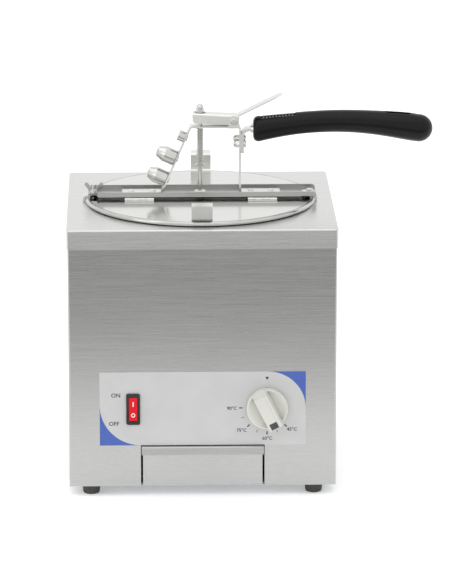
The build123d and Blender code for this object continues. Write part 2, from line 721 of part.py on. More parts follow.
# The rocker's two faces meet in a shallow valley; its upper half is pressed in
ROCKER_SLOPE = sin(radians(ROCKER_TILT))
ROCKER_PLANE = Plane(
    origin=(AXIS_X + SWITCH_X, AXIS_Y + ROCKER_PIVOT_Y, SWITCH_Z),
    x_dir=(0, cos(radians(ROCKER_TILT)), -sin(radians(ROCKER_TILT))), z_dir=(1, 0, 0))
with BuildPart() as rocker:
    with BuildSketch(ROCKER_PLANE):
        with BuildLine():
            Polyline(
                (-ROCKER_CREST, 0),
                (-ROCKER_CREST - ROCKER_H / 2 * ROCKER_SLOPE, ROCKER_H / 2),
                (0, ROCKER_H / 2 - 2 * GAP))
            ThreePointArc(
                (0, ROCKER_H / 2 - 2 * GAP),
                (ROCKER_BELLY, 0),
                (0, -ROCKER_H / 2 + 2 * GAP))
            Polyline(
                (0, -ROCKER_H / 2 + 2 * GAP),
                (-ROCKER_CREST - ROCKER_H / 2 * ROCKER_SLOPE, -ROCKER_H / 2),
                (-ROCKER_CREST, 0))
        make_face()
    extrude(amount=ROCKER_W / 2, both=True)
    with BuildSketch(sideways(SWITCH_X, ROCKER_PIVOT_Y, SWITCH_Z)):
        Circle(ROCKER_PIN_R)
    extrude(amount=ROCKER_W / 2 + ROCKER_PIN_L, both=True)
finish(rocker, "rocker")

KNOB_BACK = OVERLAY_FACE - GAP
DIAL_PLANE = Plane(
    origin=(AXIS_X + DIAL_X, AXIS_Y + KNOB_BACK, DIAL_Z),
    x_dir=(cos(radians(KNOB_ANGLE)), 0, -sin(radians(KNOB_ANGLE))), z_dir=(0, -1, 0))

# Across the bar: x of this plane; it looks along the bar, so its y is the knob's height.
KNOB_ACROSS = Plane(origin=DIAL_PLANE.origin, x_dir=DIAL_PLANE.x_dir, z_dir=-DIAL_PLANE.y_dir)

# The two thumb scoops: deepest beside the bar, rising to the rim, ending inside the skirt's edge
with BuildPart() as knob_scoops:
    with BuildSketch(KNOB_ACROSS):
        for side in (-1, 1):
            with BuildLine():
                Polyline(
                    (side * KNOB_BAR_W / 2, KNOB_SKIRT_H + KNOB_EDGE_R),
                    (side * KNOB_BAR_W / 2, KNOB_SKIRT_H - KNOB_SCOOP_DEPTH))
                ThreePointArc(
                    (side * KNOB_BAR_W / 2, KNOB_SKIRT_H - KNOB_SCOOP_DEPTH),
                    (side * (KNOB_BAR_W + 2 * KNOB_SCOOP_R) / 4,
                     KNOB_SKIRT_H - KNOB_SCOOP_DEPTH * 3 / 4),
                    (side * KNOB_SCOOP_R, KNOB_SKIRT_H))
                Polyline(
                    (side * KNOB_SCOOP_R, KNOB_SKIRT_H),
                    (side * KNOB_SCOOP_R, KNOB_SKIRT_H + KNOB_EDGE_R),
                    (side * KNOB_BAR_W / 2, KNOB_SKIRT_H + KNOB_EDGE_R))
            make_face()
    extrude(amount=KNOB_SCOOP_R, both=True)
    with BuildSketch(DIAL_PLANE):
        Circle(KNOB_SCOOP_R)
    extrude(amount=2 * KNOB_SKIRT_H, mode=Mode.INTERSECT)

with BuildPart() as knob:
    with BuildSketch(DIAL_PLANE):
        Circle(KNOB_D / 2)
    extrude(amount=KNOB_SKIRT_H)
    fillet(knob.faces().sort_by(Axis.Y)[0].edges(), radius=KNOB_EDGE_R)
    add(knob_scoops.part, mode=Mode.SUBTRACT)
    with BuildSketch(DIAL_PLANE.offset(KNOB_EDGE_R)):
        RectangleRounded(KNOB_BAR_W, KNOB_BAR_L, KNOB_EDGE_R)
    with BuildSketch(DIAL_PLANE.offset(KNOB_PROUD - GAP)):
        RectangleRounded(KNOB_BAR_TOP_W, KNOB_BAR_TOP_L, KNOB_EDGE_R)
    loft()
    fillet(knob.faces().sort_by(Axis.Y)[0].edges(), radius=KNOB_EDGE_R / 2)
    with BuildSketch(DIAL_PLANE):
        Circle(KNOB_D / 2)
    extrude(amount=KNOB_PROUD, mode=Mode.INTERSECT)
    with BuildSketch(DIAL_PLANE):
        Circle(SPINDLE_R + SEAT)
    extrude(amount=KNOB_BORE_DEPTH, mode=Mode.SUBTRACT)
finish(knob, "knob")

with BuildPart() as knob_spindle:
    with BuildSketch(facing(THERMOSTAT_FRONT + SPINDLE_TAIL, DIAL_X, DIAL_Z)):
        Circle(SPINDLE_R)
    extrude(amount=SPINDLE_TAIL + THERMOSTAT_FRONT - KNOB_BACK + KNOB_BORE_DEPTH - GAP)
finish(knob_spindle, "knob_spindle")

# Drip tray: a tub behind a bent front with a finger lip
TRAY_TUB_BACK = FRONT_Y + TRAY_DEPTH
TRAY_TUB_MID = (FRONT_Y + TRAY_TUB_BACK) / 2
with BuildPart() as drip_tray:
    with BuildSketch(level(TRAY_Z, 0, TRAY_TUB_MID)):
        RectangleRounded(TRAY_W, TRAY_DEPTH, TRAY_CORNER_R)
    extrude(amount=TRAY_WALL_H)
    with BuildSketch(level(TRAY_Z + SHEET, 0, TRAY_TUB_MID)):
        RectangleRounded(TRAY_W - 2 * SHEET, TRAY_DEPTH - 2 * SHEET, TRAY_CORNER_R - SHEET)
    extrude(amount=TRAY_WALL_H, mode=Mode.SUBTRACT)
    with BuildSketch(sideways(0)):
        with BuildLine():
            lip_line = FilletPolyline(
                (FRONT_Y + SHEET / 2, TRAY_Z),
                (FRONT_Y + SHEET / 2, TRAY_FACE_TOP),
                (FRONT_Y - TRAY_LIP_OUT + SHEET, TRAY_FACE_TOP - TRAY_LIP_SLOPE),
                (FRONT_Y - TRAY_LIP_OUT, TRAY_FACE_TOP - TRAY_LIP_DROP),
                radius=TRAY_FOLD_R)
        trace(lip_line, line_width=SHEET)
    extrude(amount=TRAY_MOUTH_W / 2 - TRAY_SIDE_GAP, both=True)
    with BuildSketch(facing(FRONT_Y - SHEET)):
        for side in (-1, 1):
            skirt_x = side * (TRAY_MOUTH_W / 2 - TRAY_SIDE_GAP - TRAY_SKIRT_INSET)
            slab(*sorted((skirt_x, side * TRAY_MOUTH_W / 2)), TRAY_Z, TRAY_FACE_TOP - TRAY_LIP_DROP)
    extrude(amount=-3 * SHEET, mode=Mode.SUBTRACT)
finish(drip_tray, "drip_tray")

# Funnel bowl: cone with a rolled rim and a threaded spout
SPOUT_FACE = CONE_Z - SPOUT_COLLAR_H
with BuildPart() as funnel_bowl:
    with BuildSketch(facing(0)):
        with BuildLine():
            Polyline(
                (MOUTH_R, BEAD_Z),
                (OUTLET_R, CONE_Z),
                (SPOUT_BORE_R, CONE_Z - SHEET),
                (SPOUT_BORE_R, SPOUT_FACE - THREAD_L),
                (THREAD_R, SPOUT_FACE - THREAD_L),
                (THREAD_R, SPOUT_FACE),
                (SPOUT_COLLAR_R, SPOUT_FACE),
                (SPOUT_COLLAR_R, cone_height(SPOUT_COLLAR_R, FUNNEL_SHEET)),
                (MOUTH_R + FUNNEL_SHEET * WALL_ACROSS, BEAD_Z),
                close=True)
        make_face()
        with Locations((BEAD_CENTRE_R, BEAD_Z)):
            Circle(BEAD_R)
    revolve(axis=UPRIGHT)
finish(funnel_bowl, "funnel_bowl")


def screw_nozzle(base):
    """A dosing nozzle: its threaded mouth on the base plane, its tip along the plane's normal."""
    with BuildPart() as nozzle:
        with BuildSketch(base):
            Circle(NOZZLE_R)
        extrude(amount=NOZZLE_CYL)
        with BuildSketch(base.offset(NOZZLE_CYL)):
            Circle(NOZZLE_R)
        with BuildSketch(base.offset(NOZZLE_CYL + NOZZLE_CONE)):
            Circle(NOZZLE_TIP_R)
        loft()
        with BuildSketch(base):
            Circle(THREAD_R + NOZZLE_FIT)
        extrude(amount=THREAD_L + GAP, mode=Mode.SUBTRACT)
        with BuildSketch(base):
            Circle(NOZZLE_BORE_R)
        extrude(amount=NOZZLE_CYL + NOZZLE_CONE, mode=Mode.SUBTRACT)
    return nozzle


fitted_nozzle = screw_nozzle(Plane(origin=(AXIS_X, AXIS_Y, SPOUT_FACE - FACE_GAP), z_dir=(0, 0, -1)))
finish(fitted_nozzle, "fitted_nozzle")

# Bridge bar: a channel, open upwards, that spans the funnel's mouth
RIVETS = [BRACKET_LEFT + RIVET_INSET, LEG_L_FOOT - RIVET_INSET,
          LEG_R_X + RIVET_INSET + STRIP_BEND_R, BRACKET_RIGHT - RIVET_INSET]

with BuildPart() as bridge_bar:
    with BuildSketch(sideways(-BAR_LEFT)):
        slab(-BAR_W / 2, BAR_W / 2, BAR_Z, BAR_Z + BAR_FLANGE_H)
        slab(-BAR_W / 2 + BAR_SHEET, BAR_W / 2 - BAR_SHEET, BAR_FLOOR, BAR_Z + 2 * BAR_FLANGE_H,
             mode=Mode.SUBTRACT)
    extrude(amount=BAR_LEFT + BAR_RIGHT)
    fillet(bridge_bar.edges().filter_by(Axis.X).group_by(Axis.Z)[0], radius=BAR_SHEET - GAP)
    fillet(bridge_bar.edges().filter_by(Axis.Y).group_by(Axis.Z)[-1], radius=BAR_CORNER_R)
    with BuildSketch(level(BAR_Z)):
        slab(-BAR_LEFT - SHEET, BAR_NOTCH_X, -BAR_W / 2, -BAR_TONGUE_W / 2)
    extrude(amount=2 * BAR_FLANGE_H, mode=Mode.SUBTRACT)
    with BuildSketch(level(BAR_Z)):
        Circle(BUSH_NECK_R + SEAT)
        with Locations((CLAMP_X, 0)):
            Circle(CLAMP_BOLT_R + SEAT)
        with Locations((HOOK_X, 0)):
            Circle(SMALL_SCREW_R + SEAT)
        with Locations(*[(x, 0) for x in RIVETS]):
            Circle(RIVET_R + SEAT)
    extrude(amount=BAR_SHEET, mode=Mode.SUBTRACT)
finish(bridge_bar, "bridge_bar")


def rim_jaw(side, inner):
    """Outline of a jaw that lies on the rolled rim and curls round its outside."""
    grip_r = BEAD_R + FACE_GAP
    with Locations((side * BEAD_CENTRE_R, BEAD_Z)):
        Circle(grip_r + JAW_T)
        Circle(grip_r, mode=Mode.SUBTRACT)
    slab(*sorted((side * (BEAD_CENTRE_R - 2 * grip_r - JAW_T), side * BEAD_CENTRE_R)),
         BEAD_Z - 2 * grip_r - JAW_T, BEAD_Z + grip_r, mode=Mode.SUBTRACT)
    slab(*sorted((side * BEAD_CENTRE_R, side * (BEAD_CENTRE_R + 2 * grip_r + JAW_T))),
         BEAD_Z - 2 * grip_r - JAW_T, BEAD_Z - JAW_GRIP_DROP, mode=Mode.SUBTRACT)
    slab(*sorted((side * inner, side * BEAD_CENTRE_R)), BEAD_Z + grip_r, BAR_Z)


# Clamp at the bar's left end: jaw, bolt and wing nut
with BuildPart() as clamp_jaw:
    with BuildSketch(facing(0)):
        rim_jaw(-1, BEAD_CENTRE_R - JAW_REACH)
    extrude(amount=JAW_W / 2, both=True)
    with BuildSketch(level(BEAD_TOP, CLAMP_X)):
        Circle(CLAMP_BOLT_R + SEAT)
    extrude(amount=2 * JAW_T, mode=Mode.SUBTRACT)
finish(clamp_jaw, "clamp_jaw")

JAW_UNDER = BEAD_TOP + FACE_GAP
with BuildPart() as clamp_bolt:
    with BuildSketch(level(JAW_UNDER, CLAMP_X)):
        Circle(CLAMP_HEAD_R)
    extrude(amount=-CLAMP_HEAD_H)
    with BuildSketch(level(JAW_UNDER, CLAMP_X)):
        Circle(CLAMP_BOLT_R)
    extrude(amount=BAR_FLOOR + CLAMP_BOLT_RISE - JAW_UNDER)
    chamfer(clamp_bolt.faces().sort_by(Axis.Z)[-1].edges(), length=CLAMP_BOLT_R / 5)
finish(clamp_bolt, "clamp_bolt")

with BuildPart() as wing_nut:
    with BuildSketch(level(BAR_FLOOR + FACE_GAP, CLAMP_X)):
        Circle(WING_HUB_R)
    with BuildSketch(level(BAR_FLOOR + FACE_GAP + WING_HUB_H, CLAMP_X)):
        Circle(WING_HUB_TOP_R)
    loft()
    with BuildSketch(facing(0, CLAMP_X, BAR_FLOOR + FACE_GAP)) as wings:
        for side in (-1, 1):
            with BuildLine():
                wing_line = Line((side * WING_HUB_TOP_R / 2, WING_W / 2),
                                 (side * (WING_SPAN - WING_W / 2), WING_RISE - WING_W / 4))
            trace(wing_line, line_width=WING_W)
            with Locations(wing_line @ 1):
                Circle(WING_W / 2)
    extrude(amount=WING_T / 2, both=True)
    with BuildSketch(level(BAR_FLOOR + FACE_GAP, CLAMP_X)):
        Circle(CLAMP_BOLT_R + RUN_FIT)
    extrude(amount=2 * WING_RISE, mode=Mode.SUBTRACT)
finish(wing_nut, "wing_nut")

# Fixed hook at the bar's right end; its screw is made with the strap's
with BuildPart() as fixed_hook:
    with BuildSketch(facing(0)):
        rim_jaw(1, BEAD_CENTRE_R - JAW_REACH)
    extrude(amount=JAW_W / 2, both=True)
    with BuildSketch(level(BAR_FLOOR, HOOK_X)) as hook_plate:
        slab(-HOOK_PLATE_L * 2 / 3, HOOK_PLATE_L / 3, -JAW_W / 2, JAW_W / 2)
        chamfer(hook_plate.vertices().group_by(Axis.X)[0], length=HOOK_PLATE_BEVEL)
    extrude(amount=HOOK_PLATE_T)
    with BuildSketch(level(BEAD_TOP, HOOK_X)):
        Circle(SMALL_SCREW_R + SEAT)
    extrude(amount=3 * JAW_T, mode=Mode.SUBTRACT)
finish(fixed_hook, "fixed_hook")

# Half lids with their hinges: side is -1 for the front lid and +1 for the rear one
HINGE_CLEAR = BARREL_R + GAP
KNUCKLE_L = HINGE_L / KNUCKLES


def butt_leaves(side, first, plate_near, plate_far, plate_low):
    """The two leaves of one lid's hinges: plates with every second knuckle, from the first."""
    with BuildPart() as leaves:
        for middle in HINGE_XS:
            left = middle - HINGE_L / 2
            with BuildSketch(sideways(left)):
                slab(*sorted((side * plate_near, side * plate_far)), plate_low, plate_low + LEAF_T)
            extrude(amount=HINGE_L)
            for knuckle in range(first, KNUCKLES, 2):
                with BuildSketch(sideways(left + knuckle * KNUCKLE_L + GAP / 2)):
                    with Locations((side * HINGE_OFFSET, HINGE_Z)):
                        Circle(BARREL_R)
                    slab(*sorted((side * plate_near, side * HINGE_OFFSET)), plate_low, plate_low + LEAF_T)
                extrude(amount=KNUCKLE_L - GAP)
            with BuildSketch(sideways(left)):
                with Locations((side * HINGE_OFFSET, HINGE_Z)):
                    Circle(HINGE_PIN_R + RUN_FIT)
            extrude(amount=HINGE_L, mode=Mode.SUBTRACT)
    return leaves


def half_lid(side):
    """A half disc that closes the mouth on one side, with a tail under the bar and hinge windows."""
    near, far = HINGE_OFFSET - HINGE_CLEAR, HINGE_OFFSET + HINGE_CLEAR
    with BuildPart() as lid:
        with BuildSketch(level(LID_Z)):
            Circle(LID_R)
            slab(-LID_R, LID_R, *sorted((side * far, -side * LID_R)), mode=Mode.SUBTRACT)
            slab(-LID_BACK_HALF_W, LID_BACK_HALF_W, *sorted((side * LID_BACK, side * (far + SHEET))))
            for middle in HINGE_XS:
                slab(middle - HINGE_L / 2 - GAP, middle + HINGE_L / 2 + GAP,
                     *sorted((side * near, side * far)), mode=Mode.SUBTRACT)
        extrude(amount=LID_T)
    return lid


def finger_tab(side, middle):
    """The bent tab on a lid's rim: foot, upright and outward lip in one strip."""
    upright = LID_R - TAB_T
    with BuildPart() as tab:
        with BuildSketch(sideways(middle)):
            with BuildLine():
                tab_line = FilletPolyline(
                    (side * (upright - TAB_FOOT), LID_TOP + TAB_T / 2),
                    (side * upright, LID_TOP + TAB_T / 2),
                    (side * upright, LID_TOP + TAB_RISE - TAB_T / 2),
                    (side * (upright + TAB_LIP), LID_TOP + TAB_RISE - TAB_T / 2),
                    radius=TAB_BEND_R)
            trace(tab_line, line_width=TAB_T)
        extrude(amount=TAB_W / 2, both=True)
        lip_end = tab.faces().sort_by(Axis.Y)[0 if side < 0 else -1]
        fillet(lip_end.edges().filter_by(Axis.Z), radius=TAB_CORNER_R)
    return tab


for side, place, tab_x in ((-1, "front", 0), (1, "rear", REAR_TAB_X)):
    finish(half_lid(side), f"{place}_lid")
    finish(finger_tab(side, tab_x), f"{place}_lid_tab")
    finish(butt_leaves(side, 0, HINGE_OFFSET - HINGE_CLEAR, HINGE_OFFSET - LEAF_REACH, BAR_Z - LEAF_T),
           f"{place}_fixed_leaves")
    finish(butt_leaves(side, 1, HINGE_OFFSET + HINGE_CLEAR, HINGE_OFFSET + LEAF_REACH, LID_TOP),
           f"{place}_lid_leaves")

with BuildPart() as hinge_pins:
    for middle in HINGE_XS:
        with BuildSketch(sideways(middle - HINGE_L / 2)):
            with Locations((-HINGE_OFFSET, HINGE_Z), (HINGE_OFFSET, HINGE_Z)):
                Circle(HINGE_PIN_R)
        extrude(amount=HINGE_L)
finish(hinge_pins, "hinge_pins")

# Lever bracket: one strip bent into two feet, a slanted leg, a top plate and an upright leg
STRIP_MID = BAR_FLOOR + STRIP_T / 2
TOP_MID = TOP_PLATE_Z + STRIP_T / 2
LEG_L = hypot(LEG_L_HEAD - LEG_L_FOOT, TOP_MID - STRIP_MID)
LEG_UX = (LEG_L_HEAD - LEG_L_FOOT) / LEG_L
LEG_UZ = (TOP_MID - STRIP_MID) / LEG_L
EAR_IN = LEVER_W / 2 + GAP
EAR_OUT = EAR_IN + EAR_T
EAR_RIGHT = LEG_R_X - STRIP_T / 2


def peg_plane(number, lift=0.0):
    """Plane on the slanted leg's left face at one peg, its normal pointing away from the leg."""
    along = PEG_FIRST + number * PEG_PITCH
    out = STRIP_T / 2 + lift
    return Plane(
        origin=(AXIS_X + LEG_L_FOOT + LEG_UX * along - LEG_UZ * out, AXIS_Y,
                STRIP_MID + LEG_UZ * along + LEG_UX * out),
        x_dir=(0, 1, 0), z_dir=(-LEG_UZ, 0, LEG_UX))


STRAP_FACE = LEG_R_X + STRIP_T / 2
STRAP_SCREW_Z = TOP_MID - STRAP_SCREW_DROP
STRAP_SCREWS = [(-STRAP_SCREW_Y, -STRAP_SCREW_STEP), (STRAP_SCREW_Y, STRAP_SCREW_STEP)]

with BuildPart() as lever_bracket:
    with BuildSketch(facing(0)):
        with BuildLine():
            strip_line = FilletPolyline(
                (BRACKET_LEFT, STRIP_MID),
                (LEG_L_FOOT, STRIP_MID),
                (LEG_L_HEAD, TOP_MID),
                (LEG_R_X, TOP_MID),
                (LEG_R_X, STRIP_MID),
                (BRACKET_RIGHT, STRIP_MID),
                radius=STRIP_BEND_R)
        trace(strip_line, line_width=STRIP_T)
    extrude(amount=STRIP_W / 2, both=True)
    with BuildSketch(facing(0)) as ear_outline:
        slab(EAR_LEFT, EAR_RIGHT, TOP_PLATE_Z, PIVOT_Z + EAR_ABOVE_PIVOT)
        fillet(ear_outline.vertices().group_by(Axis.Y)[-1], radius=EAR_TOP_R)
    extrude(amount=EAR_OUT, both=True)
    with BuildSketch(facing(0)):
        slab(EAR_LEFT, EAR_RIGHT, TOP_PLATE_Z + STRIP_T, PIVOT_Z + 2 * EAR_ABOVE_PIVOT)
    extrude(amount=EAR_IN, both=True, mode=Mode.SUBTRACT)
    with BuildSketch(facing(0, PIVOT_X, PIVOT_Z)):
        Circle(PIVOT_R + SEAT)
    extrude(amount=EAR_OUT, both=True, mode=Mode.SUBTRACT)
    with BuildSketch(level(TOP_PLATE_Z)):
        Circle(ROD_R + GAP)
    extrude(amount=STRIP_T, mode=Mode.SUBTRACT)
    with BuildSketch(level(BAR_FLOOR)):
        with Locations(*[(x, 0) for x in RIVETS]):
            Circle(RIVET_R + SEAT)
    extrude(amount=STRIP_T, mode=Mode.SUBTRACT)
    for number in range(PEG_COUNT):
        with BuildSketch(peg_plane(number)):
            Circle(PEG_SHANK_R + SEAT)
        extrude(amount=-STRIP_T, mode=Mode.SUBTRACT)
    with BuildSketch(sideways(LEG_R_X, 0, STRAP_SCREW_Z)):
        with Locations(*STRAP_SCREWS):
            Circle(SMALL_SCREW_R + SEAT)
    extrude(amount=STRIP_T, both=True, mode=Mode.SUBTRACT)
finish(lever_bracket, "lever_bracket")

with BuildPart() as bracket_rivets:
    with BuildSketch(level(BAR_FLOOR + STRIP_T)):
        with Locations(*[(x, 0) for x in RIVETS]):
            Circle(RIVET_HEAD_R)
    extrude(amount=RIVET_HEAD_H)
    fillet(bracket_rivets.faces().group_by(Axis.Z)[-1].edges(), radius=RIVET_HEAD_H - GAP)
    with BuildSketch(level(BAR_FLOOR + STRIP_T)):
        with Locations(*[(x, 0) for x in RIVETS]):
            Circle(RIVET_R)
    extrude(amount=-(STRIP_T + BAR_SHEET))
finish(bracket_rivets, "bracket_rivets")

# Pegs for the nozzles, riveted in the slanted leg, and the spare nozzles on the lower ones
with BuildPart() as nozzle_pegs:
    for number in range(PEG_COUNT):
        with BuildSketch(peg_plane(number)):
            Circle(THREAD_R)
        extrude(amount=THREAD_L)
        with BuildSketch(peg_plane(number)):
            Circle(PEG_SHANK_R)
        extrude(amount=-STRIP_T - PEG_TAIL_H)
        with BuildSketch(peg_plane(number, -STRIP_T)):
            Circle(PEG_TAIL_R)
        extrude(amount=-PEG_TAIL_H)
finish(nozzle_pegs, "nozzle_pegs")

for number in range(SPARE_COUNT):
    finish(screw_nozzle(peg_plane(number, GAP)), f"spare_nozzle_{number + 1}")

# Thumb lever: inverted channel with a paddle. Drawn level, then tipped about the pivot screw, because
# at rest its left end already stands a little high under the rod's nut.
with BuildPart() as thumb_lever:
    with BuildSketch(sideways(LEVER_LEFT)):
        slab(-LEVER_W / 2, LEVER_W / 2, LEVER_BOTTOM, LEVER_TOP)
    extrude(amount=LEVER_RIGHT - LEVER_LEFT)
    fillet(thumb_lever.edges().filter_by(Axis.X).group_by(Axis.Z)[-1], radius=LEVER_EDGE_R)
    with BuildSketch(sideways(LEVER_LEFT)):
        slab(-LEVER_W / 2 + LEVER_T, LEVER_W / 2 - LEVER_T, LEVER_BOTTOM, LEVER_TOP - LEVER_T)
    extrude(amount=LEVER_RIGHT - LEVER_LEFT, mode=Mode.SUBTRACT)
    fillet(thumb_lever.edges().filter_by(Axis.Y).group_by(Axis.Z)[0], radius=2 * LEVER_EDGE_R)
    paddle_plane = Plane(
        origin=(AXIS_X + LEVER_RIGHT - LEVER_T, AXIS_Y, LEVER_TOP - LEVER_T),
        x_dir=(cos(radians(PADDLE_ANGLE)), 0, sin(radians(PADDLE_ANGLE))),
        z_dir=(-sin(radians(PADDLE_ANGLE)), 0, cos(radians(PADDLE_ANGLE))))
    with BuildSketch(paddle_plane):
        slab(0, PADDLE_L - PADDLE_W / 2, -PADDLE_W / 2, PADDLE_W / 2)
        with Locations((PADDLE_L - PADDLE_W / 2, 0)):
            Circle(PADDLE_W / 2)
    extrude(amount=PADDLE_T)
    with BuildSketch(level(LEVER_TOP)):
        SlotOverall(ROD_SLOT_L, 2 * (ROD_R + 2 * GAP))
    extrude(amount=-2 * LEVER_T, mode=Mode.SUBTRACT)
    with BuildSketch(facing(0, PIVOT_X, PIVOT_Z)):
        Circle(PIVOT_R + RUN_FIT)
    extrude(amount=LEVER_W, both=True, mode=Mode.SUBTRACT)
PIVOT_AXIS = Axis((AXIS_X + PIVOT_X, AXIS_Y, PIVOT_Z), (0, 1, 0))
thumb_lever.part = thumb_lever.part.rotate(PIVOT_AXIS, LEVER_TILT)
finish(thumb_lever, "thumb_lever")

with BuildPart() as pivot_screw:
    with BuildSketch(facing(-EAR_OUT, PIVOT_X, PIVOT_Z)):
        Circle(PIVOT_HEAD_R)
    extrude(amount=PIVOT_HEAD_H)
    fillet(pivot_screw.faces().sort_by(Axis.Y)[0].edges(), radius=PIVOT_HEAD_H / 2)
    with BuildSketch(facing(-EAR_OUT, PIVOT_X, PIVOT_Z)):
        Circle(PIVOT_R)
    extrude(amount=-(2 * EAR_OUT + SMALL_NUT_H + SHEET))
finish(pivot_screw, "pivot_screw")

with BuildPart() as pivot_nut:
    with BuildSketch(facing(EAR_OUT, PIVOT_X, PIVOT_Z)):
        hexagon(SMALL_NUT_FLAT)
        Circle(PIVOT_R + SEAT, mode=Mode.SUBTRACT)
    extrude(amount=-SMALL_NUT_H)
finish(pivot_nut, "pivot_nut")

# Valve rod, its plug in the outlet, dome nut, cross pin, washer, spring and guide bush
ROD_FOOT = CONE_Z + PLUG_RISE + PLUG_H - PLUG_SOCKET
NUT_CORNER_R = NUT_FLAT / sqrt(3)
NUT_Z = (PIVOT_Z + (PIVOT_X + NUT_CORNER_R) * tan(radians(LEVER_TILT))
         + (LEVER_TOP - PIVOT_Z) / cos(radians(LEVER_TILT)) + NUT_LIFT_GAP)
CROSS_PIN_Z = TOP_MID - CROSS_PIN_DROP
WASHER_Z = CROSS_PIN_Z + CROSS_PIN_R

with BuildPart() as valve_rod:
    with BuildSketch(level(ROD_FOOT)):
        Circle(ROD_R)
    extrude(amount=NUT_Z + NUT_DEPTH - ROD_FOOT - GAP)
    with BuildSketch(sideways(0, 0, CROSS_PIN_Z)):
        Circle(CROSS_PIN_R + SEAT)
    extrude(amount=2 * ROD_R, both=True, mode=Mode.SUBTRACT)
finish(valve_rod, "valve_rod")

with BuildPart() as valve_plug:
    with BuildSketch(facing(0)):
        with BuildLine():
            Polyline(
                (0, CONE_Z + PLUG_RISE),
                (cone_radius(CONE_Z + PLUG_RISE, -GAP), CONE_Z + PLUG_RISE),
                (cone_radius(CONE_Z + PLUG_RISE + PLUG_CONE_H, -GAP), CONE_Z + PLUG_RISE + PLUG_CONE_H),
                (ROD_R + 2 * SHEET, CONE_Z + PLUG_RISE + PLUG_H),
                (0, CONE_Z + PLUG_RISE + PLUG_H),
                close=True)
        make_face()
    revolve(axis=UPRIGHT)
    with BuildSketch(level(CONE_Z + PLUG_RISE + PLUG_H)):
        Circle(ROD_R + SEAT)
    extrude(amount=-PLUG_SOCKET, mode=Mode.SUBTRACT)
finish(valve_plug, "valve_plug")

with BuildPart() as dome_nut:
    with BuildSketch(level(NUT_Z)):
        hexagon(NUT_FLAT)
    extrude(amount=NUT_HEX_H)
    with BuildSketch(level(NUT_Z + NUT_HEX_H)):
        Circle(NUT_DOME_R)
    extrude(amount=NUT_H - NUT_HEX_H)
    fillet(dome_nut.faces().sort_by(Axis.Z)[-1].edges(), radius=NUT_DOME_R - GAP)
    with BuildSketch(level(NUT_Z)):
        Circle(ROD_R + SEAT)
    extrude(amount=NUT_DEPTH, mode=Mode.SUBTRACT)
finish(dome_nut, "dome_nut")

with BuildPart() as cross_pin:
    with BuildSketch(sideways(0, 0, CROSS_PIN_Z)):
        Circle(CROSS_PIN_R)
    extrude(amount=CROSS_PIN_L / 2, both=True)
finish(cross_pin, "cross_pin")

with BuildPart() as spring_washer:
    with BuildSketch(level(WASHER_Z)):
        Circle(WASHER_R)
        Circle(ROD_R + SEAT, mode=Mode.SUBTRACT)
    extrude(amount=WASHER_T)
finish(spring_washer, "spring_washer")

SPRING_LOW = WASHER_Z + WASHER_T + SPRING_WIRE_R + FACE_GAP
SPRING_HIGH = TOP_PLATE_Z - SPRING_WIRE_R - FACE_GAP

with BuildPart() as return_spring:
    with BuildLine() as coil:
        Helix(pitch=SPRING_PITCH, height=SPRING_HIGH - SPRING_LOW, radius=SPRING_R,
              center=(AXIS_X, AXIS_Y, SPRING_LOW))
    with BuildSketch(Plane(coil.line @ 0, z_dir=coil.line % 0)):
        Circle(SPRING_WIRE_R)
    sweep(path=coil.line, is_frenet=True)
finish(return_spring, "return_spring")

with BuildPart() as guide_bush:
    with BuildSketch(level(BAR_Z - SHEET)):
        Circle(BUSH_NECK_R)
    extrude(amount=BAR_SHEET + SHEET)
    with BuildSketch(level(BAR_FLOOR)):
        Circle(BUSH_R)
    extrude(amount=BUSH_H)
    chamfer(guide_bush.faces().sort_by(Axis.Z)[-1].edges(), length=BUSH_H / 3)
    with BuildSketch(level(BAR_Z - SHEET)):
        Circle(ROD_R + RUN_FIT)
    extrude(amount=BUSH_H + BAR_SHEET + SHEET, mode=Mode.SUBTRACT)
finish(guide_bush, "guide_bush")

# Handle: strap bolted on the upright leg, its tang inside the grip
STRAP_MID_X = STRAP_FACE + STRAP_T / 2
STRAP_Z = TOP_MID - STRAP_RISE - STRAP_T / 2
STRAP_END = (GRIP_START + TANG_L, STRAP_Z + TANG_RISE)
FERRULE_Z = STRAP_Z + TANG_RISE * (GRIP_START - STRAP_MID_X) / (STRAP_END[0] - STRAP_MID_X)


def strap_section(thickness):
    """The strap's side outline: upright on the leg, bent over and rising into the grip."""
    with BuildLine():
        strap_line = FilletPolyline(
            (STRAP_MID_X, TOP_MID - STRAP_DROP - STRAP_T / 2),
            (STRAP_MID_X, STRAP_Z),
            STRAP_END,
            radius=STRAP_BEND_R)
    trace(strap_line, line_width=thickness)


with BuildPart() as handle_strap:
    with BuildSketch(facing(0)):
        strap_section(STRAP_T)
    extrude(amount=STRAP_W / 2, both=True)
    with BuildSketch(sideways(STRAP_MID_X, 0, STRAP_SCREW_Z)):
        with Locations(*STRAP_SCREWS):
            Circle(SMALL_SCREW_R + SEAT)
    extrude(amount=STRAP_T, both=True, mode=Mode.SUBTRACT)
finish(handle_strap, "handle_strap")

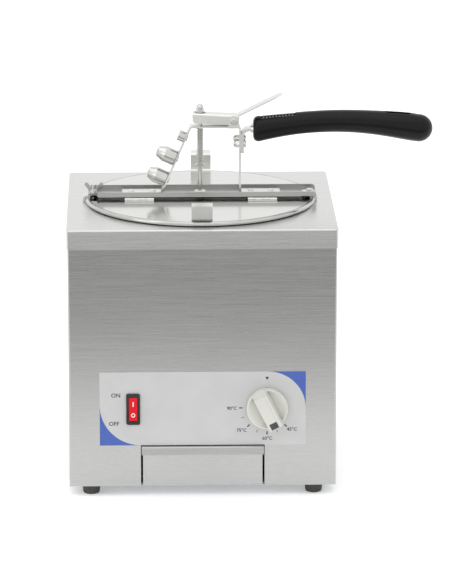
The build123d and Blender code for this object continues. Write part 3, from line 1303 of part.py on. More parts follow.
with BuildPart() as frame_screws:
    with BuildSketch(sideways(STRAP_FACE + STRAP_T, 0, STRAP_SCREW_Z)):
        with Locations(*STRAP_SCREWS):
            Circle(SMALL_HEAD_R)
    extrude(amount=SMALL_HEAD_H)
    fillet(frame_screws.faces().group_by(Axis.X)[-1].edges(), radius=SMALL_HEAD_H / 2)
    with BuildSketch(level(BAR_FLOOR + HOOK_PLATE_T, HOOK_X)):
        Circle(SMALL_HEAD_R)
    hook_head = extrude(amount=SMALL_HEAD_H)
    fillet(hook_head.faces().sort_by(Axis.Z)[-1].edges(), radius=SMALL_HEAD_H / 2)
    with BuildSketch(level(BAR_FLOOR + HOOK_PLATE_T, HOOK_X)):
        Circle(SMALL_SCREW_R)
    extrude(amount=-(HOOK_PLATE_T + BAR_SHEET + JAW_T))
    with BuildSketch(sideways(STRAP_FACE + STRAP_T, 0, STRAP_SCREW_Z)):
        with Locations(*STRAP_SCREWS):
            Circle(SMALL_SCREW_R)
    extrude(amount=-(STRAP_T + STRIP_T + SMALL_NUT_H))
finish(frame_screws, "frame_screws")

with BuildPart() as strap_nuts:
    with BuildSketch(sideways(LEG_R_X - STRIP_T / 2, 0, STRAP_SCREW_Z)):
        with Locations(*STRAP_SCREWS):
            hexagon(SMALL_NUT_FLAT)
    extrude(amount=-SMALL_NUT_H)
    with BuildSketch(sideways(LEG_R_X - STRIP_T / 2 - SMALL_NUT_H, 0, STRAP_SCREW_Z)):
        with Locations(*STRAP_SCREWS):
            Circle(SMALL_NUT_FLAT / 2 - FACE_GAP)
    extrude(amount=-STRAP_DOME_H)
    fillet(strap_nuts.faces().group_by(Axis.X)[0].edges(), radius=STRAP_DOME_H - GAP)
    with BuildSketch(sideways(LEG_R_X - STRIP_T / 2, 0, STRAP_SCREW_Z)):
        with Locations(*STRAP_SCREWS):
            Circle(SMALL_SCREW_R + SEAT)
    extrude(amount=-(SMALL_NUT_H + GAP), mode=Mode.SUBTRACT)
finish(strap_nuts, "strap_nuts")

with BuildPart() as handle_ferrule:
    with BuildSketch(sideways(GRIP_START - FERRULE_T, 0, FERRULE_Z)):
        Ellipse(FERRULE_W / 2, FERRULE_H / 2)
    extrude(amount=FERRULE_T)
    with BuildSketch(facing(0)):
        strap_section(STRAP_T + 2 * SEAT)
    extrude(amount=STRAP_W / 2 + SEAT, both=True, mode=Mode.SUBTRACT)
finish(handle_ferrule, "handle_ferrule")

# Grip: lofted through its stations, with a round end, a pocket of thumb ribs and a hanging slot
RIB_PLANE = Plane(origin=(AXIS_X + RIB_FIRST, AXIS_Y, RIB_TOP_Z),
                  x_dir=(cos(radians(RIB_LEAN)), 0, sin(radians(RIB_LEAN))),
                  z_dir=(-sin(radians(RIB_LEAN)), 0, cos(radians(RIB_LEAN))))
with BuildPart() as handle_grip:
    for along, middle, tall, wide in GRIP_STATIONS:
        with BuildSketch(sideways(GRIP_START + along, 0, middle)):
            Ellipse(wide / 2, tall / 2)
    loft()
    fillet(handle_grip.faces().sort_by(Axis.X)[0].edges(), radius=GRIP_EDGE_R)
    with Locations((AXIS_X + GRIP_END - GRIP_END_R, AXIS_Y, GRIP_STATIONS[-1][1])):
        Sphere(GRIP_END_R)
    with BuildSketch(RIB_PLANE.offset(2 * RIB_POCKET_DEPTH)):
        slab(-RIB_PITCH, RIB_COUNT * RIB_PITCH, -RIB_L / 2, RIB_L / 2)
    extrude(amount=-3 * RIB_POCKET_DEPTH, mode=Mode.SUBTRACT)
    with BuildSketch(RIB_PLANE.offset(-RIB_TOP_GAP)):
        for number in range(RIB_COUNT):
            slab(number * RIB_PITCH - RIB_T / 2, number * RIB_PITCH + RIB_T / 2,
                 -RIB_L / 2 - RIB_T, RIB_L / 2 + RIB_T)
    extrude(amount=-2 * RIB_POCKET_DEPTH)
    with BuildSketch(level(GRIP_STATIONS[-1][1] - 2 * GRIP_END_R, HANG_SLOT_X)):
        SlotOverall(HANG_SLOT_L, HANG_SLOT_W)
    extrude(amount=4 * GRIP_END_R, mode=Mode.SUBTRACT)
    with BuildSketch(facing(0)):
        strap_section(STRAP_T + 2 * SEAT)
    extrude(amount=STRAP_W / 2 + SEAT, both=True, mode=Mode.SUBTRACT)
finish(handle_grip, "handle_grip")
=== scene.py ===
import json
from math import cos, pi, radians, sin

import bmesh
import bpy
import numpy as np
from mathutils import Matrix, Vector


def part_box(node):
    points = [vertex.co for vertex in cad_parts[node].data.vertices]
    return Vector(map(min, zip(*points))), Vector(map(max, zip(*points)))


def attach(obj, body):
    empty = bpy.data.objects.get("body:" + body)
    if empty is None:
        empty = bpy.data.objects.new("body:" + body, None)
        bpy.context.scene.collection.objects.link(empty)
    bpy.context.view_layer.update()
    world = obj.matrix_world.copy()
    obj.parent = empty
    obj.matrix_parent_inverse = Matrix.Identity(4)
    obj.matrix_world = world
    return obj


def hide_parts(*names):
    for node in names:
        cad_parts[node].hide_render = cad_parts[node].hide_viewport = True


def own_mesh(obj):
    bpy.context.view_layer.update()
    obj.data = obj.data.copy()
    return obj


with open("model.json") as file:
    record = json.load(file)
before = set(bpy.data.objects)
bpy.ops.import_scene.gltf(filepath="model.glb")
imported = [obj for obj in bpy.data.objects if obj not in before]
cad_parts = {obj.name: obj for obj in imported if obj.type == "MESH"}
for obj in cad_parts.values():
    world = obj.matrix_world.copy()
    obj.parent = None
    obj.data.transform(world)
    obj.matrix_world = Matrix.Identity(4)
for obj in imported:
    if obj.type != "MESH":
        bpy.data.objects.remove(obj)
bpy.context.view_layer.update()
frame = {"nodes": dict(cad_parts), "record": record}

# Places and sizes are metres in the machine's own frame; MM turns drawn sizes into them.
MM = 0.001
nodes = frame["nodes"]
rod_low, rod_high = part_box("valve_rod")
AXIS_X = (rod_low.x + rod_high.x) / 2
AXIS_Y = (rod_low.y + rod_high.y) / 2
panel_low, panel_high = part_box("control_overlay")
FILM_Y = panel_low.y


def middle(node):
    """Centre of a node's box as an array."""
    low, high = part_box(node)
    return np.array([(low[i] + high[i]) / 2 for i in range(3)])


# Meshes: each shape is a grid of points worked out at once, and grids are joined into one closed piece.
def quads(shape, wrap_u=False, wrap_v=False, start=0):
    """Four-cornered faces between the neighbours of a grid, carried round where a parameter wraps."""
    index = np.arange(shape[0] * shape[1]).reshape(shape) + start
    if wrap_u:
        index = np.vstack([index, index[:1]])
    if wrap_v:
        index = np.hstack([index, index[:, :1]])
    return np.stack([index[:-1, :-1], index[1:, :-1], index[1:, 1:], index[:-1, 1:]], -1).reshape(-1, 4)


def piece(name, grids, body, finish, smooth=35):
    """One object from several grids (points, wrap_u, wrap_v): doubles merged, faces turned outwards."""
    points, faces, count = [], [], 0
    for grid, wrap_u, wrap_v in grids:
        faces += quads(grid.shape[:2], wrap_u, wrap_v, count).tolist()
        points.append(grid.reshape(-1, 3))
        count += grid.shape[0] * grid.shape[1]
    mesh = bpy.data.meshes.new(name)
    mesh.from_pydata(np.concatenate(points).tolist(), [], faces)
    return settle(mesh, name, body, finish, smooth)


def settle(mesh, name, body, finish, smooth=35):
    """Merges a mesh's doubles, turns its faces outwards, shades it and hangs it on its body."""
    shell = bmesh.new()
    shell.from_mesh(mesh)
    bmesh.ops.remove_doubles(shell, verts=shell.verts, dist=1e-7)
    bmesh.ops.dissolve_degenerate(shell, edges=shell.edges, dist=1e-8)
    bmesh.ops.recalc_face_normals(shell, faces=shell.faces)
    shell.to_mesh(mesh)
    shell.free()
    mesh.polygons.foreach_set("use_smooth", [True] * len(mesh.polygons))
    mesh.set_sharp_from_angle(angle=radians(smooth))
    mesh.materials.append(finish)
    made = bpy.data.objects.new(name, mesh)
    bpy.context.scene.collection.objects.link(made)
    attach(made, body)
    return made


def frame_of(normal, up=(0, 0, 1)):
    """Two unit vectors square to a normal: the first to its right, the second nearest to up."""
    normal = np.array(normal, float) / np.linalg.norm(normal)
    right = np.cross(up, normal)
    right /= np.linalg.norm(right)
    return right, np.cross(normal, right), normal


def turned(profile, centre, axis, steps=48):
    """Grid of a turned shape: each profile point (radius, height), in mm, swept round the axis."""
    right, over, along = frame_of(axis, (0, 1, 0) if abs(axis[1]) < 0.9 else (0, 0, 1))
    angle = np.linspace(0, 2 * pi, steps, endpoint=False)
    ring = np.outer(np.cos(angle), right) + np.outer(np.sin(angle), over)
    radius, height = np.array(profile, float).T * MM
    grid = np.array(centre) + radius[:, None, None] * ring[None] + height[:, None, None] * along
    return grid, False, True


def tube(path, radius, steps=12, wrap=False):
    """Grid of a round wire: a circle square to the path at each of its points."""
    ahead = np.roll(path, -1, 0) - np.roll(path, 1, 0)
    if not wrap:
        ahead[0], ahead[-1] = path[1] - path[0], path[-1] - path[-2]
    ahead /= np.linalg.norm(ahead, axis=1)[:, None]
    side = np.cross(ahead, (0, 0, 1.0))
    side /= np.linalg.norm(side, axis=1)[:, None]
    over = np.cross(side, ahead)
    angle = np.linspace(0, 2 * pi, steps, endpoint=False)[None, :, None]
    size = np.broadcast_to(np.asarray(radius, float), (len(path),))[:, None, None]
    grid = path[:, None] + size * (np.cos(angle) * side[:, None] + np.sin(angle) * over[:, None])
    return grid, wrap, True


def plate(grid, push):
    """Closed plate: an open grid, the same grid pushed by a vector, and the walls between them."""
    far = grid + np.asarray(push, float)
    rim = np.concatenate([grid[0], grid[1:, -1], grid[-1, -2::-1], grid[-2:0:-1, 0]])
    return [(grid, False, False), (far, False, False),
            (np.stack([rim, rim + np.asarray(push, float)]), False, True)]


# Materials
def linear(hex_colour):
    """Linear RGBA of an sRGB hex colour."""
    value = np.array([int(hex_colour[i:i + 2], 16) for i in (1, 3, 5)]) / 255
    value = np.where(value <= 0.04045, value / 12.92, ((value + 0.055) / 1.055) ** 2.4)
    return (*value.tolist(), 1.0)


def add(tree, kind, settings=None, links=None):
    """Adds a node, sets its sockets (by name or number) and properties, and links outputs into sockets."""
    node = tree.nodes.new(kind)
    for name, value in (settings or {}).items():
        if isinstance(name, int) or name in node.inputs:
            node.inputs[name].default_value = value
        else:
            setattr(node, name, value)
    for name, source in (links or {}).items():
        tree.links.new(source, node.inputs[name])
    return node


def blank(name, colour, metallic, roughness, **more):
    """A new material with its shader set to constants, for a finish to work on."""
    material = bpy.data.materials.new(name)
    material.use_nodes = True
    tree = material.node_tree
    tree.nodes.clear()
    shader = add(tree, "ShaderNodeBsdfPrincipled",
                 {"Base Color": linear(colour), "Metallic": metallic, "Roughness": roughness, **more})
    add(tree, "ShaderNodeOutputMaterial", links={"Surface": shader.outputs[0]})
    return material, tree, shader


def ramp(tree, source, low, high, start=0.3, end=0.7):
    """A value mapped from a pattern's usual span to a span of its own."""
    return add(tree, "ShaderNodeMapRange",
               {"From Min": start, "From Max": end, "To Min": low, "To Max": high},
               {"Value": source}).outputs[0]


def tint(tree, shader, source, dark, light):
    """Base colour between two hex colours by a pattern."""
    blend = add(tree, "ShaderNodeMix", {"data_type": "RGBA", 6: linear(dark), 7: linear(light)},
                {"Factor": source})
    tree.links.new(blend.outputs[2], shader.inputs["Base Color"])


def brushed(name, dark, light, rough, grain_mm=(45.0, 0.5, 0.5), bump=0.006):
    """Brushed sheet: long scratches, one abrasive grit wide, drawn coarser than real so that they show."""
    material, tree, shader = blank(name, light, 1.0, rough[1])
    place = add(tree, "ShaderNodeTexCoord").outputs["Object"]
    scale = [1 / (MM * size) for size in grain_mm]
    drawn = add(tree, "ShaderNodeMapping", {"Scale": scale}, {"Vector": place}).outputs[0]
    grit = add(tree, "ShaderNodeTexNoise", {"Scale": 1.0, "Detail": 3.0, "Roughness": 0.65},
               {"Vector": drawn})
    cloud = add(tree, "ShaderNodeTexNoise", {"Scale": 14.0, "Detail": 2.0}, {"Vector": place})
    mixed = add(tree, "ShaderNodeMath", {"operation": "MULTIPLY_ADD", 1: 0.25},
                {0: cloud.outputs[0], 2: grit.outputs[0]}).outputs[0]
    tint(tree, shader, ramp(tree, mixed, 0.0, 1.0, 0.4, 0.85), dark, light)
    tree.links.new(ramp(tree, grit.outputs[0], rough[0], rough[1]), shader.inputs["Roughness"])
    lift = add(tree, "ShaderNodeBump", {"Strength": bump, "Distance": 0.00005}, {"Height": grit.outputs[0]})
    tree.links.new(lift.outputs[0], shader.inputs["Normal"])
    return material


def speckled(name, colour, other, rough, size_mm, bump=0.1, metallic=0.0, **more):
    """Moulded, cast or plated skin: a fine even grain in height, with a slow change in tone."""
    material, tree, shader = blank(name, colour, metallic, rough, **more)
    place = add(tree, "ShaderNodeTexCoord").outputs["Object"]
    grain = add(tree, "ShaderNodeTexNoise", {"Scale": 1 / (MM * size_mm), "Detail": 2.0}, {"Vector": place})
    cloud = add(tree, "ShaderNodeTexNoise", {"Scale": 40.0, "Detail": 3.0}, {"Vector": place})
    tint(tree, shader, ramp(tree, cloud.outputs[0], 0.0, 1.0), colour, other)
    tree.links.new(ramp(tree, grain.outputs[0], rough - 0.04, rough + 0.06), shader.inputs["Roughness"])
    lift = add(tree, "ShaderNodeBump", {"Strength": bump, "Distance": 0.0001}, {"Height": grain.outputs[0]})
    tree.links.new(lift.outputs[0], shader.inputs["Normal"])
    return material


# Stainless sheet, brushed along the machine's width: a soft grey with fine level lines
brushed_sheet = brushed("brushed stainless sheet", "#B2B2B1", "#BABAB9", (0.25, 0.31))
# The cover's sheet: the same brushing and roughness, with its colour painted a little brighter as painted
# light for the bright surroundings that its upward face mirrors
brighter_painted_cover_sheet = brushed("brushed stainless cover painted brighter", "#CFCFCE", "#D8D8D7", (0.25, 0.31))
# Stainless sheet as rolled and pressed: brighter, with mirror images that are only a little blurred
pressed_sheet = brushed("pressed stainless sheet", "#D3D3D0", "#DBDBD8", (0.12, 0.17),
                        (60.0, 1.5, 1.5), 0.004)
# Bent stainless strip: an even light satin
bent_strip = speckled("bent stainless strip", "#DCDCD9", "#E6E6E3", 0.3, 0.5, 0.012, 1.0)
# Turned stainless: bright and smooth, with a very fine even grain
turned_steel = speckled("turned stainless", "#C6C6C3", "#D3D3D0", 0.2, 0.4, 0.01, 1.0)
# Polished stainless rim: rolled and buffed, so it shows sharp bright and dark bands
buffed_rim = brushed("buffed stainless", "#B9B9B6", "#D0D0CD", (0.08, 0.14), (20.0, 20.0, 2.0), 0.005)
# Zinc-plated steel: blue-white, slightly clouded
zinc_plate = speckled("zinc-plated steel", "#A9AEB2", "#C1C5C8", 0.34, 0.8, 0.05, 1.0)
# Cast stainless: satin with a faint orange-peel skin
cast_steel = speckled("cast stainless", "#B3B3AF", "#CFCFCB", 0.22, 1.5, 0.15, 1.0)
# Drawn spring wire: satin grey, a little clouded
spring_wire = speckled("drawn spring wire", "#B9B9B5", "#CDCDC9", 0.25, 0.6, 0.02, 1.0)
# Foot rubber: moulded, matt charcoal
foot_rubber = speckled("moulded foot rubber", "#343432", "#41413F", 0.62, 0.5, 0.2)
# Nylon: moulded black, slightly glossy
nylon = speckled("moulded black nylon", "#1B1B1A", "#232322", 0.4, 0.4, 0.1)
# Rigid white plastic for wiring parts and bushes
wiring_plastic = speckled("moulded white plastic", "#DAD8CF", "#E3E1D8", 0.4, 0.4, 0.08)
# Silicone rubber: matt red-brown heater mat
heater_rubber = speckled("silicone heater rubber", "#8E3A28", "#9C4532", 0.6, 1.0, 0.2)
# Felted mineral wool: pale and rough
mineral_wool = speckled("felted mineral wool", "#C9C2AE", "#DAD5C5", 0.95, 1.6, 0.8)
# Drawn copper: soft orange metal
drawn_copper = speckled("drawn copper", "#B8734B", "#CB8960", 0.28, 0.5, 0.05, 1.0)
# Printed polycarbonate film: pale grey with a fine matt texture
panel_film = speckled("textured panel film", "#BFBFBF", "#C4C4C4", 0.5, 0.25, 0.06)
# Screen-printed inks: flat colours with a slight unevenness in the coat
blue_ink = speckled("blue panel ink", "#3F5AA9", "#4561AF", 0.45, 0.3, 0.05)
black_ink = speckled("black panel ink", "#1C1C1B", "#232322", 0.6, 0.3, 0.05)
white_ink = speckled("white switch ink", "#F1E4E2", "#F6ECEA", 0.4, 0.3, 0.05)
mark_ink = speckled("black knob paint", "#3B3B38", "#42423F", 0.4, 0.3, 0.05)
# Switch bezel: moulded dark grey
bezel_plastic = speckled("moulded switch plastic", "#2B2C29", "#343531", 0.42, 0.4, 0.08,
                         **{"Specular IOR Level": 0.25})
# Rocker: glossy plastic in a strong red
rocker_red = speckled("glossy red switch plastic", "#D3061F", "#DE1029", 0.3, 0.6, 0.02,
                      **{"Specular IOR Level": 0.25})
# Knob: off-white plastic with a satin skin
knob_plastic = speckled("off-white knob plastic", "#CFCFC8", "#D5D5CF", 0.34, 0.3, 0.05)
# Grip: black glass-filled plastic, satin with a fine grain
grip_plastic = speckled("black grip plastic", "#080807", "#0C0C0B", 0.28, 0.35, 0.06,
                        **{"Specular IOR Level": 0.22})

FINISHES = {
    brushed_sheet: ["outer_casing", "rear_panel", "bridge_bar", "drip_tray"],
    # the top cover takes the sheet whose colour is painted brighter as painted light on its upward face
    brighter_painted_cover_sheet: ["top_cover"],
    pressed_sheet: ["front_lid", "rear_lid", "heating_well", "clamp_jaw",
                    "fixed_hook", "front_fixed_leaves", "rear_fixed_leaves", "front_lid_leaves",
                    "rear_lid_leaves", "handle_ferrule"],
    bent_strip: ["front_lid_tab", "rear_lid_tab", "lever_bracket", "thumb_lever", "handle_strap",
                 "bracket_rivets"],
    buffed_rim: ["funnel_bowl"],
    turned_steel: ["valve_rod", "dome_nut", "cross_pin", "spring_washer", "spare_nozzle_1",
                   "spare_nozzle_2", "fitted_nozzle", "pivot_screw", "pivot_nut", "clamp_bolt",
                   "frame_screws", "strap_nuts", "knob_spindle", "hinge_pins", "nozzle_pegs"],
    cast_steel: ["wing_nut"],
    spring_wire: ["return_spring"],
    zinc_plate: ["panel_screws", "foot_screws", "foot_nuts", "base_plate", "tray_guides", "bulb_clip",
                 "thermostat"],
    foot_rubber: ["feet"],
    nylon: ["cable_gland", "gland_nut"],
    wiring_plastic: ["terminal_block", "valve_plug", "guide_bush"],
    heater_rubber: ["heater_band"],
    mineral_wool: ["insulation_jacket"],
    drawn_copper: ["thermostat_bulb"],
    panel_film: ["control_overlay"],
    bezel_plastic: ["switch_body"],
    rocker_red: ["rocker"],
    knob_plastic: ["knob"],
    grip_plastic: ["handle_grip"],
}
for finish, names in FINISHES.items():
    for name in names:
        nodes[name].data.materials.clear()
        nodes[name].data.materials.append(finish)


# Panel print: thin ink sheets on the film, placed from the dial and the panel's edges
DIAL = middle("knob_spindle")
DIAL[1] = FILM_Y
INK = 0.06              # thickness of a coat of ink, mm
PATCH_INSET = 0.05      # bare edge of film round a blue corner, mm


def on_film(x_mm, z_mm):
    """Points on the film's face from arrays of mm to the right of and above the dial's centre."""
    x_mm, z_mm = np.broadcast_arrays(np.asarray(x_mm, float), np.asarray(z_mm, float))
    return np.stack([DIAL[0] + x_mm * MM, np.full(x_mm.shape, FILM_Y), DIAL[2] + z_mm * MM], -1)


def printed(name, grid, finish):
    """A sheet of ink from its grid on the film."""
    return piece(name, plate(grid, (0, -INK * MM, 0)), "housing", finish)


def corner_patch(name, side, radius):
    """Blue corner: between the panel's corner and an arc; each row runs from the edges to the arc."""
    edge = panel_high if side > 0 else panel_low
    x0 = (edge.x - DIAL[0]) / MM - side * PATCH_INSET
    z0 = (edge.z - DIAL[2]) / MM - side * PATCH_INSET
    turn = np.linspace(0.0, pi / 2, 41)
    arc_x, arc_z = x0 - side * radius * (1 - np.cos(turn)), z0 - side * radius * (1 - np.sin(turn))
    square = np.maximum(np.cos(turn), np.sin(turn))
    edge_x = x0 - side * radius * (1 - np.cos(turn) / square)
    edge_z = z0 - side * radius * (1 - np.sin(turn) / square)
    share = np.linspace(0, 1, 4)[:, None]
    grid = on_film(edge_x + share * (arc_x - edge_x), edge_z + share * (arc_z - edge_z))
    return printed(name, grid, blue_ink)


corner_patch("blue_corner_upper", 1, 38.5)
corner_patch("blue_corner_lower", -1, 42.0)

TICK_R = 26.5
BOLD_TICK = (1.7, 0.62)     # half length and half width, mm
FINE_TICK = (1.5, 0.25)
for number, clock in enumerate((135, 157.5, 180, 202.5, 225, 247.5, 270)):
    half_long, half_wide = BOLD_TICK if number % 2 == 0 else FINE_TICK
    out = np.array([sin(radians(clock)), cos(radians(clock))])
    over = np.array([out[1], -out[0]])
    along = np.array([-1.0, 1.0])[:, None, None] * half_long
    across = np.array([-1.0, 1.0])[None, :, None] * half_wide
    spot = (TICK_R + along) * out + across * over
    printed(f"dial_tick_{number + 1}", on_film(spot[..., 0], spot[..., 1]), black_ink)

POINTER_TIP = 29.2          # its point, then its height and half width, mm
POINTER_HIGH = 3.2
POINTER_HALF = 1.85
share = np.linspace(0, 1, 5)[:, None]
edge = np.array([-1.0, 0.0, 1.0])[None, :]
printed("dial_pointer", on_film(POINTER_HALF * share * edge, POINTER_TIP + POINTER_HIGH * share), black_ink)


CAPITAL = 0.72              # height of a capital as a share of the typeface's size
STROKE_SWELL = 0.09         # ink spread past each edge of a letter, mm


def lettering(words, name, high_mm, x_px, y_px):
    """Words printed on the film as a mesh, their middle at a place read from the photograph."""
    x_mm, z_mm = px_place(x_px, y_px)
    curve = bpy.data.curves.new(name, "FONT")
    curve.body, curve.size, curve.align_x, curve.align_y = words, high_mm * MM / CAPITAL, "CENTER", "CENTER"
    curve.extrude, curve.resolution_u, curve.offset = INK * MM / 2, 3, STROKE_SWELL * MM
    drawn = bpy.data.objects.new(name, curve)
    mesh = bpy.data.meshes.new_from_object(drawn)
    bpy.data.objects.remove(drawn)
    bpy.data.curves.remove(curve)
    flat = np.zeros(len(mesh.vertices) * 3)
    mesh.vertices.foreach_get("co", flat)
    flat = flat.reshape(-1, 3)
    flat[:, :2] -= (flat[:, :2].max(0) + flat[:, :2].min(0)) / 2
    placed = np.stack([DIAL[0] + x_mm * MM + flat[:, 0], FILM_Y - flat[:, 2],
                       DIAL[2] + z_mm * MM + flat[:, 1]], -1)
    mesh.vertices.foreach_set("co", placed.ravel())
    return settle(mesh, name, "housing", black_ink)


DIAL_PX = (267.2, 407.8)    # the dial's centre in the photograph
PX_PER_MM = (0.990, 0.9577)     # across and up the front panel


def px_place(x_px, y_px):
    """A place on the front panel read from the photograph, in mm from the dial's centre."""
    return (x_px - DIAL_PX[0]) / PX_PER_MM[0], (DIAL_PX[1] - y_px) / PX_PER_MM[1]


for words, x_px, y_px in (("90°C", 232.0, 408.0), ("75°C", 241.7, 430.2), ("60°C", 267.4, 438.4),
                          ("45°C", 292.0, 429.4)):
    lettering(words, "print_" + words[:2], 3.5, x_px, y_px)
for words, x_px, y_px in (("ON", 116.0, 394.5), ("OFF", 114.2, 423.0)):
    lettering(words, "print_" + words, 4.3, x_px, y_px)

# Rocker marks: a bar on the upper slope and a ring on the lower one
SWITCH = middle("switch_body")
SLOPE_Z = np.array([-10.96, 0.41, 12.35])                 # heights of the slopes' ends from the switch, mm
SLOPE_Y = np.array([-6.24, -2.57, -2.55]) + 0.4           # their depths from the film, mm


def on_rocker(name, x_mm, z_mm):
    """A mark just off the rocker's two slopes: its depth is read between the slopes' ends by height."""
    x_mm, z_mm = np.broadcast_arrays(x_mm, z_mm)
    face = np.interp(z_mm, SLOPE_Z, SLOPE_Y)
    grid = np.stack([SWITCH[0] + x_mm * MM, FILM_Y + (face - INK) * MM, SWITCH[2] + z_mm * MM], -1)
    return piece(name, plate(grid, (0, 3 * INK * MM, 0)), "rocker", white_ink)


share = np.linspace(-1.0, 1.0, 5)
on_rocker("rocker_bar", 0.55 * share[None, :], 5.6 + 2.4 * share[:, None])
turn = np.linspace(0, 2 * pi, 33)[None, :]
ring = np.array([1.25, 1.6, 2.1])[:, None]
on_rocker("rocker_ring", ring * np.cos(turn), -5.4 + ring * np.sin(turn))


# Knob, in mm: a dished skirt with a grip bar across it, worked out as heights over a disc
KNOB_R = 21.0
KNOB_EDGE = 20.95           # the drawn disc, a hair inside the knob's own radius
KNOB_TOP = 17.4
SKIRT_HIGH = 6.5
SKIRT_ROUND = 1.5
BAR_HALF = 8.2
BAR_WALL = 1.25             # how far the bar's side leans in
BAR_FOOT = 7.2              # the bar's height at its ends, and what it rises from there
BAR_RISE = 10.2
SCOOP_DEEP = 4.3
SCOOP_R = 19.4
SCOOP_START = 7.4
GROOVE_AT = 4.6
GROOVE_DEEP = 0.5


def knob_height(a, b):
    """Height in mm over the panel at a (across the bar) and b (along it): skirt, scoops, then the bar."""
    reach = np.sqrt(a * a + b * b)
    past_flat = np.clip(reach - (KNOB_R - SKIRT_ROUND), 0, SKIRT_ROUND)
    skirt = SKIRT_HIGH - SKIRT_ROUND + np.sqrt(np.clip(SKIRT_ROUND ** 2 - past_flat ** 2, 0, None))
    half = np.sqrt(np.clip(SCOOP_R ** 2 - b * b, 0.01, None))
    span = np.clip((half - np.abs(a)) / np.clip(half - SCOOP_START, 0.5, None), 0, 1)
    scoop = np.where((half > BAR_HALF) & (np.abs(a) > 7.0),
                     SCOOP_DEEP * span ** 1.3 * np.clip((half - BAR_HALF) / 3, 0, 1), 0)
    tail, nose = np.clip((KNOB_R + b) / 4.9, 0, 1), np.clip((KNOB_R - b) / 1.6, 0, 1) ** 0.5
    ends = np.where(b < 0, tail, nose) * BAR_RISE + BAR_FOOT
    wall = np.clip((BAR_HALF - np.abs(a)) / BAR_WALL, 0, 1)
    groove = GROOVE_DEEP * np.exp(-((a - GROOVE_AT) / 0.4) ** 2)
    bar = np.where(wall > 0, wall * np.minimum(ends, KNOB_TOP) + (1 - wall) * (skirt - scoop), 0)
    top = np.maximum(skirt - scoop, bar - np.where(np.abs(b) < 19, groove, 0))
    return np.minimum(top, KNOB_TOP)


KNOB_TURN = radians(153.4)
KNOB_RIGHT = np.array([-cos(KNOB_TURN), 0, sin(KNOB_TURN)])
KNOB_ALONG = np.array([sin(KNOB_TURN), 0, cos(KNOB_TURN)])
KNOB_MID = np.array([DIAL[0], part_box("knob")[1].y, DIAL[2]])


def on_knob(a, b, height):
    """Points from knob coordinates in mm: across the bar, along it to its mark, and off the panel."""
    return KNOB_MID + MM * (a[..., None] * KNOB_RIGHT + b[..., None] * KNOB_ALONG
                            + height[..., None] * np.array([0, -1.0, 0]))


row = KNOB_EDGE * np.sin(np.linspace(-pi / 2, pi / 2, 120))[:, None]
chord = np.sqrt(np.clip(KNOB_EDGE ** 2 - row ** 2, 0, None))
inner = np.array([0, 1.5, 3.0, 3.8, 4.2, GROOVE_AT, 5.0, 5.4, 6.2, 6.95, 7.3, 7.7, BAR_HALF])[None, :]
outer_share = np.sin(np.linspace(0, pi / 2, 13))[None, 1:]
outer = np.where(chord > BAR_HALF, BAR_HALF + outer_share * (chord - BAR_HALF), chord)
half_row = np.concatenate([np.minimum(inner, chord), outer], 1)
across_knob = np.concatenate([-half_row[:, :0:-1], half_row], 1)
along_knob = np.broadcast_to(row, across_knob.shape)
front = on_knob(across_knob, along_knob, knob_height(across_knob, along_knob))
back = on_knob(across_knob, along_knob, np.zeros(across_knob.shape))
rim = [np.concatenate([g[0], g[1:, -1], g[-1, -2::-1], g[-2:0:-1, 0]]) for g in (front, back)]
knob = piece("dial_knob", [(front, False, False), (back, False, False), (np.stack(rim), False, True)],
             "knob", knob_plastic, smooth=28)
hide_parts("knob")
MARK_LOW = 12.4             # where the painted mark starts and ends along the bar, mm
MARK_HIGH = 19.8
mark_a = np.linspace(-4.5, 3.6, 9)[None, :] + np.zeros((9, 1))
mark_b = np.linspace(MARK_LOW, MARK_HIGH, 9)[:, None] + np.zeros((1, 9))
rounding = np.clip(np.abs(mark_a + 0.4) - 2.6, 0, None)
mark_b = mark_b - rounding * (mark_b - MARK_LOW) / (MARK_HIGH - MARK_LOW) * 0.7
mark = on_knob(mark_a, mark_b, knob_height(mark_a, mark_b) + 0.12)
piece("knob_mark", plate(mark, (0, 0.1 * MM, 0)), "knob", mark_ink)


# Spring: a round wire on a helix from the washer to the top plate
def node_span(node):
    """Lowest and highest corner of a node's box as arrays."""
    low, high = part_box(node)
    return np.array(low), np.array(high)


spring_low, spring_high = node_span("return_spring")
WIRE_R = 0.55
TURNS = 14
share = np.linspace(0, 1, TURNS * 24 + 1)
turn = share * TURNS * 2 * pi
coil_r = (spring_high[0] - spring_low[0]) / 2 - WIRE_R * MM
coil_rise = spring_high[2] - spring_low[2] - 2 * WIRE_R * MM
path = np.stack([AXIS_X + coil_r * np.cos(turn), AXIS_Y + coil_r * np.sin(turn),
                 spring_low[2] + WIRE_R * MM + share * coil_rise], -1)
grid, _, _ = tube(path, WIRE_R * MM, 10)
ends = [np.repeat(path[i][None, None], 10, 1) for i in (0, -1)]
wire = np.concatenate([ends[0], grid, ends[1]])
spring = piece("coiled_spring", [(wire, False, True)], "funnel_set", spring_wire)
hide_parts("return_spring")
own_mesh(spring)

# Spare nozzles: turned bodies on the slanted leg's pegs, drawn from the peg outwards
NOZZLE_PROFILE = [(5.6, 0), (7.7, 0), (8.1, 0.4), (8.1, 12.1), (7.8, 12.5), (5.1, 19.5), (4.8, 19.7),
                  (3.0, 19.7), (3.0, 12.0), (5.6, 11.5), (5.6, 0)]      # radius and height, mm


def spot_along(node, axis):
    """Where a node's own mesh starts on an axis direction, on its middle line."""
    flat = np.zeros(len(nodes[node].data.vertices) * 3)
    nodes[node].data.vertices.foreach_get("co", flat)
    spots = flat.reshape(-1, 3)
    right, over, along = frame_of(axis, (0, 1, 0))
    inner = [(spots @ way).min() + (spots @ way).max() for way in (right, over)]
    return right * inner[0] / 2 + over * inner[1] / 2 + along * (spots @ along).min()


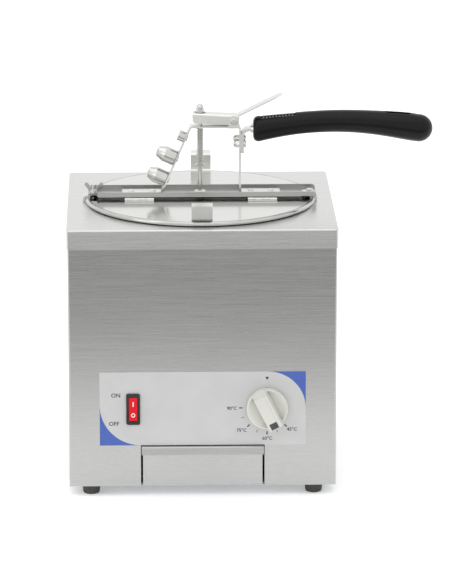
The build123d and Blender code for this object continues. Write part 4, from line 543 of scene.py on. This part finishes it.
joints = frame["record"]["behaviour"]["joints"]
peg_joint = [joint for joint in joints if joint["name"] == "spare_nozzle_1_off"][0]
PEG_OUT = np.array(peg_joint["axis"], float)
for number in (1, 2):
    node = f"spare_nozzle_{number}"
    foot = spot_along(node, PEG_OUT)
    nozzle = piece(f"turned_nozzle_{number}", [turned(NOZZLE_PROFILE, foot, PEG_OUT, 64)], node,
                   turned_steel, smooth=30)
    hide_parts(node)


# Floor, light and camera
def card(name, corners, finish):
    """A flat stage card from four corners."""
    mesh = bpy.data.meshes.new(name)
    mesh.from_pydata(corners, [], [(0, 1, 2, 3)])
    mesh.materials.append(finish)
    made = bpy.data.objects.new(name, mesh)
    bpy.context.scene.collection.objects.link(made)
    return made


def softbox(name, place, aim, size, power):
    """An area light at a place, turned towards its aim."""
    lamp = bpy.data.lights.new(name, "AREA")
    lamp.shape, lamp.size, lamp.size_y, lamp.energy = "RECTANGLE", size[0], size[1], power
    made = bpy.data.objects.new(name, lamp)
    bpy.context.scene.collection.objects.link(made)
    made.location = place
    made.rotation_euler = (Vector(aim) - Vector(place)).to_track_quat("-Z", "Y").to_euler()
    return made


# Studio floor: white, with a grey area well in front of the machine that its front mirrors
FLOOR_WHITE = "#FBFBFB"
FLOOR_GREY = "#404040"
GREY_START = (-0.38, -0.95)     # where the grey comes up and goes again, metres along Y
GREY_END = (-1.35, -1.9)
pale_floor, floor_tree, floor_shader = blank("pale studio floor", FLOOR_WHITE, 0.0, 0.9,
                                             **{"Emission Strength": 0.25})
floor_place = add(floor_tree, "ShaderNodeTexCoord").outputs["Object"]
floor_y = add(floor_tree, "ShaderNodeSeparateXYZ", links={"Vector": floor_place}).outputs["Y"]
near_fall = ramp(floor_tree, floor_y, 1.0, 0.0, GREY_START[1], GREY_START[0])
far_fall = ramp(floor_tree, floor_y, 0.0, 1.0, GREY_END[1], GREY_END[0])
fall = add(floor_tree, "ShaderNodeMath", {"operation": "MULTIPLY"}, {0: near_fall, 1: far_fall}).outputs[0]
tint(floor_tree, floor_shader, fall, FLOOR_WHITE, FLOOR_GREY)
glow = add(floor_tree, "ShaderNodeMix", {"data_type": "RGBA", 6: linear("#FFFFFF"), 7: linear("#161616")},
           {"Factor": fall})
floor_tree.links.new(glow.outputs[2], floor_shader.inputs["Emission Color"])
REACH = 6.0
floor_corners = [(-REACH, -REACH, 0), (REACH, -REACH, 0), (REACH, REACH, 0), (-REACH, REACH, 0)]
card("studio_floor", floor_corners, pale_floor)

ROOM_LIGHT = 1.04
world = bpy.data.worlds.new("studio")
world.use_nodes = True
world.node_tree.nodes["Background"].inputs[0].default_value = linear("#FFFFFF")
world.node_tree.nodes["Background"].inputs[1].default_value = ROOM_LIGHT
bpy.context.scene.world = world
bpy.context.scene.view_settings.view_transform = "Standard"

softbox("overhead_softbox", (-0.3, -0.6, 2.4), (0, 0, 0.2), (2.2, 2.2), 8)
softbox("left_softbox", (-2.2, -1.4, 1.2), (0, 0, 0.2), (1.2, 1.8), 4)

FOCAL_PX = 3927.9
IMAGE_HIGH_PX = 584
SENSOR = 36.0
CAMERA_MM = (-72.12, -3932.55, 1211.51)     # from the valve rod's axis, and from the floor
CAMERA_TILT = 75.30
CAMERA_TURN = -1.44
lens = bpy.data.cameras.new("studio_camera")
lens.sensor_fit = "AUTO"
lens.sensor_width = SENSOR
lens.lens = FOCAL_PX * SENSOR / IMAGE_HIGH_PX
lens.clip_end = 50
camera = bpy.data.objects.new("studio_camera", lens)
bpy.context.scene.collection.objects.link(camera)
camera.location = (AXIS_X + CAMERA_MM[0] * MM, AXIS_Y + CAMERA_MM[1] * MM, CAMERA_MM[2] * MM)
camera.rotation_euler = (radians(CAMERA_TILT), 0, radians(CAMERA_TURN))
bpy.context.scene.camera = camera
